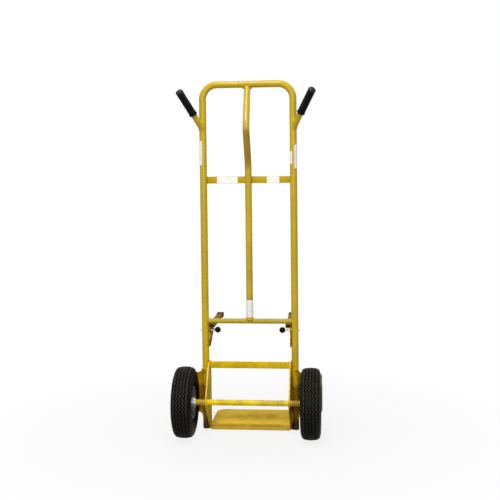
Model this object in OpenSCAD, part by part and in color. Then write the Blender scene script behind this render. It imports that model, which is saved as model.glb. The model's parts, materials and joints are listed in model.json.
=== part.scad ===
// Tall two-wheel trolley with lift forks over its toe plate, in millimetres.
// +X is the operator's right, +Y points to the load, +Z is up.
// The origin lies on the floor, midway between the uprights and in their plane.

/* [Frame] */
// Outside diameter of the frame tube
tube_d = 26.7; // [24:0.1:30]
// Wall of the frame tube
tube_wall = 2.6; // [1.5:0.1:4]
// Distance between the centrelines of the two uprights
frame_w = 340; // [320:1:380]
// Height of the top bar's crown above the floor
frame_h = 1318; // [1260:1:1400]
// Centreline radius of the two top corners
corner_r = 55; // [40:1:80]
// Gap between the open feet of the uprights and the floor
foot_clear = 2; // [1:0.5:4]

/* [Centre spine] */
// Outside diameter of the spine's tube
spine_d = 25.4; // [20:0.1:25.4]
// How far the grab bow of the spine stands behind the frame
spine_bow = 72; // [50:1:90]
// Drop of the bow's rearmost point below the frame's crown
spine_bow_drop = 177; // [150:1:210]
// Drop below the crown at which the bow comes back into the frame's plane
spine_rejoin_drop = 315; // [300:1:340]
// Centreline radius of the spine's bends
spine_bend_r = 60; // [40:1:80]
// Depth of the spine's saddle on the lower crossbar
spine_saddle = 3; // [2:0.5:5]

/* [Crossbars] */
// Drop of the flat upper crossbar's middle below the frame's crown
upper_bar_drop = 371; // [350:1:420]
// Height of the flat upper crossbar's section
upper_bar_h = 26; // [20:1:34]
// Thickness of the flat upper crossbar
upper_bar_t = 5; // [3:0.5:8]
// Height of the round lower crossbar's axis
lower_bar_z = 413; // [390:1:450]
// Outside diameter of the lower crossbar
lower_bar_d = 19; // [16:0.5:24]
// Wall of the lower crossbar
lower_bar_wall = 2; // [1.5:0.1:3]
// Height of the brace bar's section
brace_h = 25; // [20:1:30]
// Distance of the brace bar's middle behind the uprights' axes
brace_back = 20; // [14:1:26]
// Thickness of the brace bar
brace_t = 6; // [4:0.5:10]

/* [Handles] */
// Outside diameter of the handle tube
handle_d = 22.2; // [19:0.1:24]
// Wall of the handle tube
handle_wall = 2; // [1.5:0.1:3]
// Drop below the crown at which the handles leave the uprights
handle_drop = 181; // [170:1:220]
// Length of a handle tube from the upright's axis
handle_len = 176.5; // [160:0.5:190]
// Lean of the handles away from upright, in degrees
handle_lean = 38.8; // [32:0.1:44]
// Turn of the handles towards the operator, in degrees
handle_turn = 47.6; // [35:0.1:55]
// Length of a rubber grip
grip_len = 112; // [100:1:120]
// Outside diameter of a rubber grip
grip_d = 28.5; // [26:0.1:32]
// Depth of rubber past the end of the handle tube
grip_end = 6; // [4:0.5:10]
// Number of ribs round a rubber grip
grip_ribs = 14; // [8:1:16]
// Height of the ribs on a rubber grip
grip_rib_h = 0.8; // [0.5:0.1:1.2]
// Diameter of the collar at the lower end of a grip
grip_collar_d = 31; // [30:0.1:36]
// Length of the collar at the lower end of a grip
grip_collar_len = 7; // [4:0.5:10]

/* [Forks] */
// Width of a fork bar
fork_w = 22; // [18:0.5:25]
// Height of a fork bar
fork_h = 15; // [12:0.5:18]
// Wall of a fork bar
fork_wall = 2; // [1.5:0.1:3]
// Reach of the forks in front of the uprights' axes
fork_reach = 258; // [220:1:300]
// Length of a fork's tail behind the uprights' axes
fork_tail = 12; // [10:0.5:13]
// Length of a black cap over a fork's tip
tip_len = 24; // [16:1:30]
// Wall of a black tip cap
tip_wall = 2.5; // [1.5:0.1:4]
// Thickness of the gusset under a fork
gusset_t = 5; // [4:0.5:6]
// Depth of the gusset below its fork
gusset_h = 72; // [60:1:85]
// Reach of the gusset along its fork
gusset_reach = 118; // [90:1:150]

/* [Lock pins] */
// Diameter of a lock pin
pin_d = 8; // [6:0.1:9]
// Drop of the lock pins below the underside of the forks
pin_drop = 9; // [8:0.5:14]
// Length of a lock pin's tip outside its upright
pin_tip = 6; // [4:0.5:10]
// Diameter of a lock pin's ball knob
knob_d = 23; // [20:0.5:26]
// Clear length of a lock pin between its gusset and its knob
pin_show = 17; // [14:0.5:24]

/* [Toe plate] */
// Width of the toe plate in front of the uprights
toe_w = 322; // [320:1:340]
// Reach of the toe plate in front of the uprights' axes
toe_reach = 262; // [220:1:300]
// Thickness of the toe plate
toe_t = 5; // [4:0.5:7]
// Corner radius at the front of the toe plate
toe_corner_r = 36; // [20:1:50]
// Height of the lip at the heel of the toe plate
lip_h = 23; // [18:1:30]
// Distance of the lip's rear face behind the uprights' axes
lip_back = 21; // [18:0.5:24]
// Inside bend radius between lip and plate
lip_bend_r = 4; // [2:0.5:6]

/* [Axle and brackets] */
// Distance of the axle behind the uprights' axes
axle_back = 116; // [110:1:125]
// Thickness of an axle bracket
bracket_t = 6; // [5:0.5:8]
// Height of the top of an axle bracket
bracket_top_z = 262; // [255:1:275]
// Depth of a bracket's edge along its upright
bracket_edge = 16; // [12:1:20]
// Distance of a bracket's upper rear corner behind the uprights' axes
bracket_top_back = 55; // [48:1:62]
// Rounding of that corner
bracket_corner_r = 13; // [8:0.5:16]
// Radius of a bracket's nose round the axle
nose_r = 21; // [18:0.5:26]
// Outside diameter of the axle sleeve
sleeve_d = 21.3; // [20:0.1:24]
// Length of the axle sleeve
sleeve_len = 383; // [380:1:386]
// Diameter of the axle
axle_d = 15.9; // [14:0.1:17]
// Outside diameter of the axle washers
washer_d = 30; // [26:0.5:34]
// Thickness of the axle washers
washer_t = 2.5; // [1.5:0.1:3]
// Diameter of the cotter pins
cotter_d = 3.2; // [2.5:0.1:4]
// Length of the axle past the outer washers
axle_end = 11; // [9:0.5:13]

/* [Wheels] */
// Outside diameter of a tyre
tyre_d = 260; // [250:1:266]
// Width of a tyre over its sidewalls
tyre_w = 72; // [68:0.5:76]
// Width of the tread between its shoulders
tread_w = 56; // [52:0.5:60]
// Drop of the tread's crown at its shoulders
crown_drop = 6; // [3:0.5:8]
// Distance of a tyre's middle plane from the trolley's middle
wheel_x = 232; // [231:0.5:236]
// Number of zigzags round the tread
zigzags = 46; // [24:1:46]
// Number of grooves across the tread
grooves = 3; // [2:1:4]
// Width of a tread groove
groove_w = 5.2; // [4:0.1:6]
// Depth of a tread groove
groove_depth = 4.5; // [3:0.5:6]
// Sideways swing of the zigzags from their mean line
zigzag_swing = 3.6; // [2:0.1:4]
// Diameter of the rims' bead seat
bead_d = 100; // [96:1:104]
// Width of the rim between its flanges
rim_w = 55; // [52:0.5:58]
// Height of the rim flanges over the bead seat
flange_h = 10; // [8:0.5:12]
// Thickness of the rim sheet
rim_t = 2; // [1.5:0.1:2.5]
// Outside diameter of a hub
hub_d = 42; // [40:0.5:46]
// Length of a hub
hub_len = 57; // [54:0.5:60]
// Outside diameter of a wheel bearing
bearing_d = 35; // [32:0.5:36]
// Width of a wheel bearing
bearing_w = 11; // [9:0.5:13]
// Number of bolts that hold the rim halves together
rim_bolts = 4; // [3:1:6]
// Diameter of the rim bolts
rim_bolt_d = 8; // [6:0.5:8]

/* [Wheel guards] */
// Gap between a guard and the tread
guard_gap = 7; // [5:0.5:9]
// Thickness of a wheel guard
guard_t = 3; // [2:0.5:4]
// Outer edge of a guard from the trolley's middle
guard_x = 271; // [266:0.5:275]
// Height of a guard's lower edge
guard_low_z = 62; // [55:1:75]
// Height of a guard's upper edge
guard_top_z = 219; // [200:1:222]
// Rise of a guard's edges where they meet the upright
guard_flare = 17; // [10:1:20]
// Radius of a guard's outer corners
guard_corner_r = 14; // [8:1:20]

/* [Hidden] */
$fn = 96;
// Overrun of cuts past the faces that they open
over = 5;
// Gap left at welded and clamped seats
seat_gap = 0.1;
// Radial clearance of running fits
running_gap = 0.05;
// End play of the wheels along the axle
end_play = 0.3;
// Clearance of a cap, grip or pin over what it is pushed on
push_gap = 0.1;
// Rounding of a bar's and a cap's edges
edge_r = 2;
// Gap between a tyre's bead and the rim
bead_gap = 0.15;

side_x = frame_w / 2;
tube_r = tube_d / 2;
top_z = frame_h - tube_r;
spine_bow_z = frame_h - spine_bow_drop;
spine_rejoin_z = frame_h - spine_rejoin_drop;
upper_bar_z = frame_h - upper_bar_drop;
handle_z = frame_h - handle_drop;
inner_face = side_x - tube_r - seat_gap;
axle_y = -axle_back;
axle_z = tyre_d / 2;
front_face = tube_r + seat_gap;
fork_top = lower_bar_z - lower_bar_d / 2 - seat_gap;
fork_low = fork_top - fork_h;
fork_x = inner_face - fork_w / 2;
pin_z = fork_low - pin_drop;
bracket_in = inner_face - bracket_t;
brace_z = bracket_top_z - brace_h / 2;
knob_x = inner_face - gusset_t - pin_show - knob_d / 2;
hub_in = sleeve_len / 2 + washer_t + end_play;
hub_out = hub_in + hub_len;
axle_half = hub_out + end_play + washer_t + axle_end;
cotter_x = hub_out + end_play + washer_t + cotter_d / 2 + seat_gap;
grip_from = handle_len + grip_end - grip_len;
flange_r = bead_d / 2 + flange_h;
rim_bolt_r = hub_d / 2 + rim_bolt_d;
well_r = rim_bolt_r + rim_bolt_d;
// Flare of the rim flanges over their own height
flange_lean = 2.5;
// Depth of the drop well from the bead seat's inner edge
well_step = 8;

paint = "gold";
rubber = "black";
zinc = "silver";

// Helpers

function unit(v) = v / norm(v);
function heading(v) = atan2(v[1], v[0]);
function turn_at(a, b, c) = let (t = heading(c - b) - heading(b - a))
    t > 180 ? t - 360 : t < -180 ? t + 360 : t;

// A path's points with both ends drawn out by a length
function drawn_out(path, by) = let (n = len(path))
    [for (i = [0 : n - 1])
        i == 0 ? path[0] - by * unit(path[1] - path[0])
        : i == n - 1 ? path[n - 1] + by * unit(path[n - 1] - path[n - 2])
        : path[i]];

// A round bar bent along a flat path in the local XY plane, with one bend radius
module bent_bar(path, bend_r, d) {
    n = len(path);
    trim = [for (i = [0 : n - 1])
        (i == 0 || i == n - 1) ? 0 : bend_r * tan(abs(turn_at(path[i - 1], path[i], path[i + 1])) / 2)];
    for (i = [0 : n - 2]) {
        run = path[i + 1] - path[i];
        translate(path[i] + trim[i] * unit(run))
            rotate([0, 90, heading(run)])
                cylinder(h = norm(run) - trim[i] - trim[i + 1], d = d);
    }
    for (i = [1 : n - 2]) {
        turn = turn_at(path[i - 1], path[i], path[i + 1]);
        way = heading(path[i] - path[i - 1]);
        hand = sign(turn);
        start = path[i] - trim[i] * unit(path[i] - path[i - 1]);
        centre = start + bend_r * hand * [-sin(way), cos(way)];
        from = hand > 0 ? way - 90 : way + turn + 90;
        translate(centre)
            rotate(from)
                rotate_extrude(angle = abs(turn))
                    translate([bend_r, 0])
                        circle(d = d);
    }
}

module bent_tube(path, bend_r, d, wall) {
    difference() {
        bent_bar(path, bend_r, d);
        bent_bar(drawn_out(path, over), bend_r, d - 2 * wall);
    }
}

// The stations of a flat path with rounded bends, each a point and a heading
function stations(path, bend_r, steps) = let (n = len(path)) concat(
    [[path[0], heading(path[1] - path[0])]],
    [for (i = [1 : n - 2])
        let (turn = turn_at(path[i - 1], path[i], path[i + 1]),
            way = heading(path[i] - path[i - 1]),
            trim = bend_r * tan(abs(turn) / 2),
            out = bend_r * sign(turn) * [-sin(way), cos(way)],
            centre = path[i] - trim * unit(path[i] - path[i - 1]) + out)
        each [for (j = [0 : steps])
            let (h = way + turn * j / steps)
            [centre - bend_r * sign(turn) * [-sin(h), cos(h)], h]]],
    [[path[n - 1], heading(path[n - 1] - path[n - 2])]]);

function loop_at(station, r, sides) = [for (k = [0 : sides - 1])
    let (across = r * cos(360 * k / sides) * [-sin(station[1]), cos(station[1])])
    [station[0][0] + across[0], station[0][1] + across[1], r * sin(360 * k / sides)]];

// A tube swept along the same kind of path, for bends at any angle
module swept_tube(path, bend_r, d, wall, steps, sides) {
    along = stations(path, bend_r, steps);
    rows = len(along);
    points = [for (r = [d / 2, d / 2 - wall], s = along) each loop_at(s, r, sides)];
    function at(skin, row, k) = (skin * rows + row) * sides + k % sides;
    faces = concat(
        [for (skin = [0, 1], row = [0 : rows - 2], k = [0 : sides - 1])
            let (quad = [at(skin, row, k), at(skin, row, k + 1),
                    at(skin, row + 1, k + 1), at(skin, row + 1, k)],
                a = skin == 0 ? quad : [quad[3], quad[2], quad[1], quad[0]])
            each [[a[0], a[1], a[2]], [a[0], a[2], a[3]]]],
        [for (row = [0, rows - 1], k = [0 : sides - 1])
            let (quad = [at(0, row, k + 1), at(0, row, k), at(1, row, k), at(1, row, k + 1)],
                a = row == 0 ? quad : [quad[3], quad[2], quad[1], quad[0]])
            each [[a[0], a[1], a[2]], [a[0], a[2], a[3]]]]);
    polyhedron(points, faces);
}

// Places a flat drawing's X along X and its Y along Z
module in_frame_plane() {
    rotate([90, 0, 0]) children();
}

// Places a flat drawing's X along Y, its Y along Z and its normal along X
module in_side_plane() {
    rotate([90, 0, 90]) children();
}

// The shape drawn for the right side, on either side
module on_side(side) {
    mirror([side < 0 ? 1 : 0, 0, 0]) children();
}

// Local Z runs outwards along the axle from the trolley's middle
module on_axle(side) {
    on_side(side) translate([0, axle_y, axle_z]) rotate([0, 90, 0]) children();
}

// Local Z runs up along a handle from the upright's axis
module on_handle(side) {
    on_side(side) translate([side_x, 0, handle_z]) rotate([0, handle_lean, -handle_turn]) children();
}

module upright_solid() {
    translate([side_x, 0, 0]) cylinder(h = frame_h, d = tube_d);
}

module rounded_rect(w, h, r) {
    square([w - 2 * r, h], center = true);
    square([w, h - 2 * r], center = true);
    for (i = [-1, 1], j = [-1, 1])
        translate([i * (w / 2 - r), j * (h / 2 - r)]) circle(r);
}

// Frame

frame_path = [[-side_x, foot_clear], [-side_x, top_z], [side_x, top_z], [side_x, foot_clear]];

module main_frame() {
    color(paint)
        difference() {
            in_frame_plane() bent_tube(frame_path, corner_r, tube_d, tube_wall);
            for (side = [-1, 1])
                on_side(side)
                    translate([side_x - tube_d, 0, pin_z])
                        rotate([0, 90, 0])
                            cylinder(h = 2 * tube_d, d = pin_d + 2 * running_gap);
        }
}

// Steps in each bend of the spine, and sides of its tube
spine_steps = 8;
spine_sides = 24;
spine_path = [[0, lower_bar_z + lower_bar_d / 2 - spine_saddle], [0, spine_rejoin_z],
    [-spine_bow, spine_bow_z], [0, top_z]];

module centre_spine() {
    color(paint)
        difference() {
            in_side_plane()
                swept_tube(spine_path, spine_bend_r, spine_d, tube_wall, spine_steps, spine_sides);
            for (cope = [[top_z, tube_d], [lower_bar_z, lower_bar_d]])
                translate([0, 0, cope[0]])
                    rotate([0, 90, 0])
                        cylinder(h = frame_w, d = cope[1], center = true);
        }
}

module upper_crossbar() {
    color(paint)
        translate([0, front_face + upper_bar_t / 2, upper_bar_z])
            cube([frame_w, upper_bar_t, upper_bar_h], center = true);
}

module lower_crossbar() {
    color(paint)
        difference() {
            translate([0, 0, lower_bar_z])
                rotate([0, 90, 0])
                    cylinder(h = frame_w, d = lower_bar_d, center = true);
            translate([0, 0, lower_bar_z])
                rotate([0, 90, 0])
                    cylinder(h = frame_w + over, d = lower_bar_d - 2 * lower_bar_wall, center = true);
            for (side = [-1, 1])
                on_side(side) upright_solid();
        }
}

module brace_bar() {
    color(paint)
        translate([0, -brace_back, brace_z])
            cube([2 * bracket_in, brace_t, brace_h], center = true);
}

// Axle and its brackets

// Direction in which a circle meets the line that also touches another circle
function touching(centre, r, other, other_r, hand) = let (
        to = other - centre,
        swing = acos((r - other_r) / norm(to)))
    [cos(heading(to) + hand * swing), sin(heading(to) + hand * swing)];

module bracket_outline() {
    nose = [axle_y, axle_z];
    edge = bracket_edge / 2;
    corner = [bracket_corner_r - bracket_top_back, bracket_top_z - bracket_corner_r];
    heel = [-edge, foot_clear];
    back = touching(nose, nose_r, corner, bracket_corner_r, 1);
    under = touching(nose, nose_r, heel, 0, -1);
    difference() {
        union() {
            polygon([[edge, foot_clear], [edge, bracket_top_z], [corner.x, bracket_top_z], corner,
                corner + bracket_corner_r * back, nose + nose_r * back, nose, nose + nose_r * under, heel]);
            translate(corner) circle(bracket_corner_r);
            translate(nose) circle(nose_r);
        }
        translate(nose) circle(d = sleeve_d + 2 * seat_gap);
    }
}

module axle_bracket(side) {
    color(paint)
        on_side(side)
            translate([bracket_in, 0, 0])
                in_side_plane()
                    linear_extrude(bracket_t) bracket_outline();
}

module axle_bracket_left() {
    axle_bracket(-1);
}

module axle_bracket_right() {
    axle_bracket(1);
}

module axle_sleeve() {
    color(paint)
        translate([0, axle_y, axle_z])
            rotate([0, 90, 0])
                difference() {
                    cylinder(h = sleeve_len, d = sleeve_d, center = true);
                    cylinder(h = sleeve_len + over, d = axle_d + 2 * push_gap, center = true);
                }
}

module axle() {
    color(zinc)
        difference() {
            translate([0, axle_y, axle_z])
                rotate([0, 90, 0])
                    cylinder(h = 2 * axle_half, d = axle_d, center = true);
            for (side = [-1, 1])
                on_side(side)
                    translate([cotter_x, axle_y, axle_z])
                        cylinder(h = 2 * axle_d, d = cotter_d + 2 * push_gap, center = true);
        }
}

module axle_washers() {
    color(zinc)
        for (side = [-1, 1], at = [sleeve_len / 2, hub_out + end_play])
            on_axle(side)
                translate([0, 0, at])
                    difference() {
                        cylinder(h = washer_t, d = washer_d);
                        translate([0, 0, -over])
                            cylinder(h = washer_t + 2 * over, d = axle_d + 2 * push_gap);
                    }
}

// A split pin with its eye above the axle and its shank through it
module cotter_pins() {
    color(zinc)
        for (side = [-1, 1])
            on_side(side)
                translate([cotter_x, axle_y, axle_z]) {
                    translate([0, 0, -axle_d]) cylinder(h = 2 * axle_d, d = cotter_d);
                    translate([0, 0, axle_d + cotter_d])
                        in_side_plane()
                            rotate_extrude()
                                translate([cotter_d, 0])
                                    circle(d = cotter_d);
                }
}

// Toe plate

module lip_profile() {
    bend = lip_bend_r + toe_t;
    difference() {
        union() {
            translate([-lip_back + bend, 0]) square([lip_back + front_face - bend, toe_t]);
            translate([-lip_back, bend]) square([toe_t, lip_h - bend]);
            translate([-lip_back, 0]) square(bend);
        }
        difference() {
            translate([-lip_back - over, -over]) square(bend + over);
            translate([-lip_back + bend, bend]) circle(bend);
        }
        translate([-lip_back + bend, bend]) circle(lip_bend_r);
        translate([-lip_back + toe_t, bend]) square([bend, lip_h]);
    }
}

module toe_plate() {
    front = toe_reach - front_face;
    color(paint) {
        translate([-bracket_in, 0, 0])
            in_side_plane()
                linear_extrude(2 * bracket_in) lip_profile();
        linear_extrude(toe_t)
            translate([0, front_face]) {
                translate([-toe_w / 2, 0]) square([toe_w, front - toe_corner_r]);
                translate([-toe_w / 2 + toe_corner_r, 0]) square([toe_w - 2 * toe_corner_r, front]);
                for (i = [-1, 1])
                    translate([i * (toe_w / 2 - toe_corner_r), front - toe_corner_r]) circle(toe_corner_r);
            }
    }
}

// Wheel guards

// The guard's outline seen from behind, flared where it meets the upright
module guard_outline() {
    side_edge = side_x + tube_r + guard_flare;
    tall = guard_top_z - guard_low_z;
    difference() {
        translate([side_x, guard_low_z - guard_flare])
            square([side_edge - side_x, tall + 2 * guard_flare]);
        for (z = [guard_low_z - guard_flare, guard_top_z + guard_flare])
            translate([side_edge, z]) circle(guard_flare);
    }
    translate([side_x, guard_low_z]) square([guard_x - guard_corner_r - side_x, tall]);
    translate([side_x, guard_low_z + guard_corner_r])
        square([guard_x - side_x, tall - 2 * guard_corner_r]);
    for (z = [guard_low_z + guard_corner_r, guard_top_z - guard_corner_r])
        translate([guard_x - guard_corner_r, z]) circle(guard_corner_r);
}

module wheel_guard(side) {
    guard_r = tyre_d / 2 + guard_gap;
    color(paint)
        on_side(side)
            difference() {
                intersection() {
                    translate([side_x, axle_y, axle_z])
                        rotate([0, 90, 0])
                            difference() {
                                cylinder(h = guard_x, r = guard_r + guard_t);
                                translate([0, 0, -over]) cylinder(h = guard_x + 2 * over, r = guard_r);
                            }
                    translate([0, tyre_d, 0])
                        in_frame_plane()
                            linear_extrude(tyre_d + axle_back) guard_outline();
                }
                upright_solid();
            }
}

module wheel_guard_left() {
    wheel_guard(-1);
}

module wheel_guard_right() {
    wheel_guard(1);
}

// Handles and grips

module handle(side) {
    color(paint)
        difference() {
            on_handle(side)
                difference() {
                    cylinder(h = handle_len, d = handle_d);
                    translate([0, 0, -over])
                        cylinder(h = handle_len + 2 * over, d = handle_d - 2 * handle_wall);
                }
            on_side(side) upright_solid();
        }
}

module handle_left() {
    handle(-1);
}

module handle_right() {
    handle(1);
}

// Share of a rib's pitch left open on each side of the rib
rib_share = 0.2;

// Half the grip's section, ribbed, and closed and domed at its upper end
module grip_profile() {
    bore_r = handle_d / 2 + push_gap;
    grip_r = grip_d / 2;
    core_r = grip_r - grip_rib_h;
    dome_r = grip_end - push_gap;
    dome_z = handle_len + push_gap;
    ribs_from = grip_from + grip_collar_len;
    ribs_to = dome_z - grip_collar_len;
    rib_step = (ribs_to - ribs_from) / grip_ribs;
    translate([bore_r, grip_from]) square([core_r - bore_r, dome_z - grip_from]);
    translate([bore_r, grip_from]) square([grip_collar_d / 2 - bore_r, grip_collar_len]);
    translate([bore_r, ribs_to]) square([grip_r - bore_r, dome_z - ribs_to]);
    for (i = [0 : grip_ribs - 1])
        translate([bore_r, ribs_from + (i + rib_share) * rib_step])
            square([grip_r - bore_r, (1 - 2 * rib_share) * rib_step]);
    translate([0, dome_z]) square([grip_r - dome_r, dome_r]);
    intersection() {
        translate([grip_r - dome_r, dome_z]) circle(dome_r);
        translate([0, dome_z]) square([grip_r, dome_r]);
    }
}

module grip(side) {
    color(rubber)
        on_handle(side) rotate_extrude() grip_profile();
}

module grip_left() {
    grip(-1);
}

module grip_right() {
    grip(1);
}

// Forks

module fork(side) {
    color(paint)
        on_side(side)
            translate([fork_x, fork_reach - tip_wall, fork_low + fork_h / 2])
                in_frame_plane()
                    linear_extrude(fork_reach - tip_wall + fork_tail)
                        difference() {
                            rounded_rect(fork_w, fork_h, edge_r);
                            square([fork_w - 2 * fork_wall, fork_h - 2 * fork_wall], center = true);
                        }
}

module fork_left() {
    fork(-1);
}

module fork_right() {
    fork(1);
}

module gusset_outline() {
    foot = tube_r;
    difference() {
        polygon([[-fork_tail, fork_low], [gusset_reach, fork_low], [gusset_reach, fork_low - foot],
            [foot, fork_low - gusset_h], [-fork_tail, fork_low - gusset_h]]);
        translate([0, pin_z]) circle(d = pin_d + 2 * running_gap);
    }
}

module fork_gusset(side) {
    color(paint)
        on_side(side)
            translate([inner_face - gusset_t, 0, 0])
                in_side_plane()
                    linear_extrude(gusset_t) gusset_outline();
}

module fork_gusset_left() {
    fork_gusset(-1);
}

module fork_gusset_right() {
    fork_gusset(1);
}

module fork_tip(side) {
    grow = 2 * (tip_wall + push_gap);
    color(rubber)
        on_side(side)
            translate([fork_x, fork_reach, fork_low + fork_h / 2])
                in_frame_plane()
                    difference() {
                        linear_extrude(tip_len) rounded_rect(fork_w + grow, fork_h + grow, edge_r + tip_wall);
                        translate([0, 0, tip_wall - push_gap])
                            linear_extrude(tip_len)
                                rounded_rect(fork_w + 2 * push_gap, fork_h + 2 * push_gap, edge_r);
                    }
}

module fork_tip_left() {
    fork_tip(-1);
}

module fork_tip_right() {
    fork_tip(1);
}

// Lock pins

// Local Z runs outwards along a lock pin from the trolley's middle
module on_pin(side) {
    on_side(side) translate([0, 0, pin_z]) rotate([0, 90, 0]) children();
}

module lock_pin(side) {
    tip_x = side_x + tube_r + pin_tip;
    shank = tip_x - knob_x - pin_d / 2;
    color(zinc)
        on_pin(side)
            translate([0, 0, knob_x]) {
                cylinder(h = shank, d = pin_d);
                translate([0, 0, shank]) cylinder(h = pin_d / 2, d1 = pin_d, d2 = pin_d / 2);
            }
}

module lock_pin_left() {
    lock_pin(-1);
}

module lock_pin_right() {
    lock_pin(1);
}

module lock_knob(side) {
    color(rubber)
        on_pin(side)
            translate([0, 0, knob_x])
                difference() {
                    sphere(d = knob_d);
                    translate([0, 0, -push_gap]) cylinder(h = knob_d, d = pin_d + 2 * push_gap);
                }
}

module lock_knob_left() {
    lock_knob(-1);
}

module lock_knob_right() {
    lock_knob(1);
}

// Wheels

rings = 2 * zigzags;
tyre_r = tyre_d / 2;
bead_r = bead_d / 2 / cos(180 / rings) + bead_gap;
bead_x = rim_w / 2 - bead_gap;
tread_x = tread_w / 2;
side_wall_x = tyre_w / 2;
// Heights up the sidewall from bead to shoulder, and the widths that go with them
wall_rise = tyre_r - crown_drop - bead_r;
clinch_share = 0.85;
clinch_rise = clinch_share * flange_h;
swell_shares = [0.30, 0.63, 0.88];
width_shares = [0.92, 1, 0.945];
// The same for the air space, from the bead's toe to under the tread
toe_share = 0.74;
space_rise_shares = [0.13, 0.56, 0.87];
space_width_shares = [0.62, 0.83, 0.67];

function crown(x) = tyre_r - crown_drop * pow(x / tread_x, 2);

// One side of the tyre's outer face from the bead to the shoulder, as radius and offset
outer_wall = concat(
    [[bead_r, bead_x], [bead_r + clinch_rise, bead_x + clinch_rise * flange_lean / flange_h]],
    [for (i = [0 : 2]) [bead_r + swell_shares[i] * wall_rise, width_shares[i] * side_wall_x]],
    [[crown(tread_x), tread_x]]);

// One side of the air space from the bead's toe upwards
space_wall = concat(
    [[bead_r, toe_share * bead_x]],
    [for (i = [0 : 2]) [bead_r + space_rise_shares[i] * wall_rise, space_width_shares[i] * side_wall_x]]);

groove_step = tread_w / (grooves + 1);
tread = [for (i = [1 : grooves], k = [1, 0, -1])
    let (x = tread_x - i * groove_step + k * groove_w / 2)
    [crown(x) - (k == 0 ? groove_depth : 0), x, 1]];

function backwards(list) = [for (i = [len(list) - 1 : -1 : 0]) list[i]];
function mirrored(list) = [for (p = backwards(list)) [p[0], -p[1]]];

tyre_section = concat(outer_wall, tread, mirrored(outer_wall), space_wall_back());

function space_wall_back() = concat(mirrored(backwards(space_wall)), backwards(space_wall));

// A closed ring swept from the section, whose tread points swing to and fro
module tyre_body() {
    count = len(tyre_section);
    points = [for (k = [0 : rings - 1], p = tyre_section)
        let (swing = len(p) > 2 ? zigzag_swing * (k % 2 == 0 ? 1 : -1) : 0)
        [p[0] * cos(360 * k / rings), p[0] * sin(360 * k / rings), p[1] + swing]];
    faces = [for (k = [0 : rings - 1], i = [0 : count - 1])
        let (a = k * count + i,
            b = k * count + (i + 1) % count,
            c = ((k + 1) % rings) * count + (i + 1) % count,
            d = ((k + 1) % rings) * count + i)
        each [[a, b, c], [a, c, d]]];
    polyhedron(points, faces);
}

module tyre(side) {
    color("dimgray")
        on_axle(side) translate([0, 0, wheel_x]) tyre_body();
}

module tyre_left() {
    tyre(-1);
}

module tyre_right() {
    tyre(1);
}

tube_fill_share = 0.985;
tube_hollow_share = 0.93;
tube_middle = [bead_r + wall_rise / 2, 0];

module tube_outline(fill_share) {
    polygon([for (p = concat(space_wall, mirrored(space_wall)))
        tube_middle + fill_share * (p - tube_middle)]);
}

module inner_tube(side) {
    color(rubber)
        on_axle(side)
            translate([0, 0, wheel_x])
                rotate_extrude()
                    difference() {
                        tube_outline(tube_fill_share);
                        tube_outline(tube_hollow_share);
                    }
}

module inner_tube_left() {
    inner_tube(-1);
}

module inner_tube_right() {
    inner_tube(1);
}

// Half a pressed rim, as radius and offset from the wheel's middle plane
module rim_section() {
    seat_r = bead_d / 2;
    lip_x = rim_w / 2 + flange_lean;
    polygon([[hub_d / 2 + seat_gap, 0], [well_r, 0], [seat_r, well_step], [seat_r, rim_w / 2],
        [flange_r, lip_x], [flange_r, lip_x + rim_t], [seat_r, rim_w / 2 + rim_t],
        [seat_r - rim_t, rim_w / 2], [seat_r - rim_t, well_step + rim_t / 2],
        [well_r - rim_t / 2, rim_t], [hub_d / 2 + seat_gap, rim_t]]);
}

module at_rim_bolts() {
    for (i = [0 : rim_bolts - 1])
        rotate(360 * (i + 0.5) / rim_bolts)
            translate([rim_bolt_r, 0, 0])
                children();
}

valve_d = 8;
valve_len = 30;
valve_r = bead_d / 2 - valve_d;

module at_valve() {
    translate([valve_r, 0, 0]) children();
}

module rim_half(side, face) {
    color("gainsboro")
        on_axle(side)
            translate([0, 0, wheel_x])
                mirror([0, 0, face < 0 ? 1 : 0])
                    difference() {
                        rotate_extrude() rim_section();
                        at_rim_bolts()
                            translate([0, 0, -over])
                                cylinder(h = rim_w, d = rim_bolt_d + 2 * push_gap);
                        if (face > 0)
                            at_valve()
                                translate([0, 0, -over])
                                    cylinder(h = rim_w, d = valve_d + 2 * push_gap);
                    }
}

module rim_outer_left() {
    rim_half(-1, 1);
}

module rim_outer_right() {
    rim_half(1, 1);
}

module rim_inner_left() {
    rim_half(-1, -1);
}

module rim_inner_right() {
    rim_half(1, -1);
}

hub_bore_share = 0.75;

module hub(side) {
    color(zinc)
        on_axle(side)
            translate([0, 0, hub_in])
                difference() {
                    cylinder(h = hub_len, d = hub_d);
                    translate([0, 0, -over])
                        cylinder(h = hub_len + 2 * over, d = hub_bore_share * bearing_d);
                    translate([0, 0, -over])
                        cylinder(h = bearing_w + over, d = bearing_d + 2 * running_gap);
                    translate([0, 0, hub_len - bearing_w])
                        cylinder(h = bearing_w + over, d = bearing_d + 2 * running_gap);
                }
}

module hub_left() {
    hub(-1);
}

module hub_right() {
    hub(1);
}

// Depth of a bearing's shields behind its rings
shield_depth = 0.8;

module bearing() {
    bore_r = axle_d / 2 + running_gap;
    ring = (bearing_d / 2 - bore_r) / 4;
    rotate_extrude()
        difference() {
            translate([bore_r, 0]) square([bearing_d / 2 - bore_r, bearing_w]);
            for (z = [-over, bearing_w - shield_depth])
                translate([bore_r + ring, z]) square([2 * ring, over + shield_depth]);
        }
}

module bearings(side) {
    color(zinc)
        on_axle(side)
            for (z = [hub_in, hub_out - bearing_w])
                translate([0, 0, z]) bearing();
}

module bearings_left() {
    bearings(-1);
}

module bearings_right() {
    bearings(1);
}

head_share = 0.6;
head_d = 2 * rim_bolt_d - 2 * rim_t;
head_h = head_share * rim_bolt_d;

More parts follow.
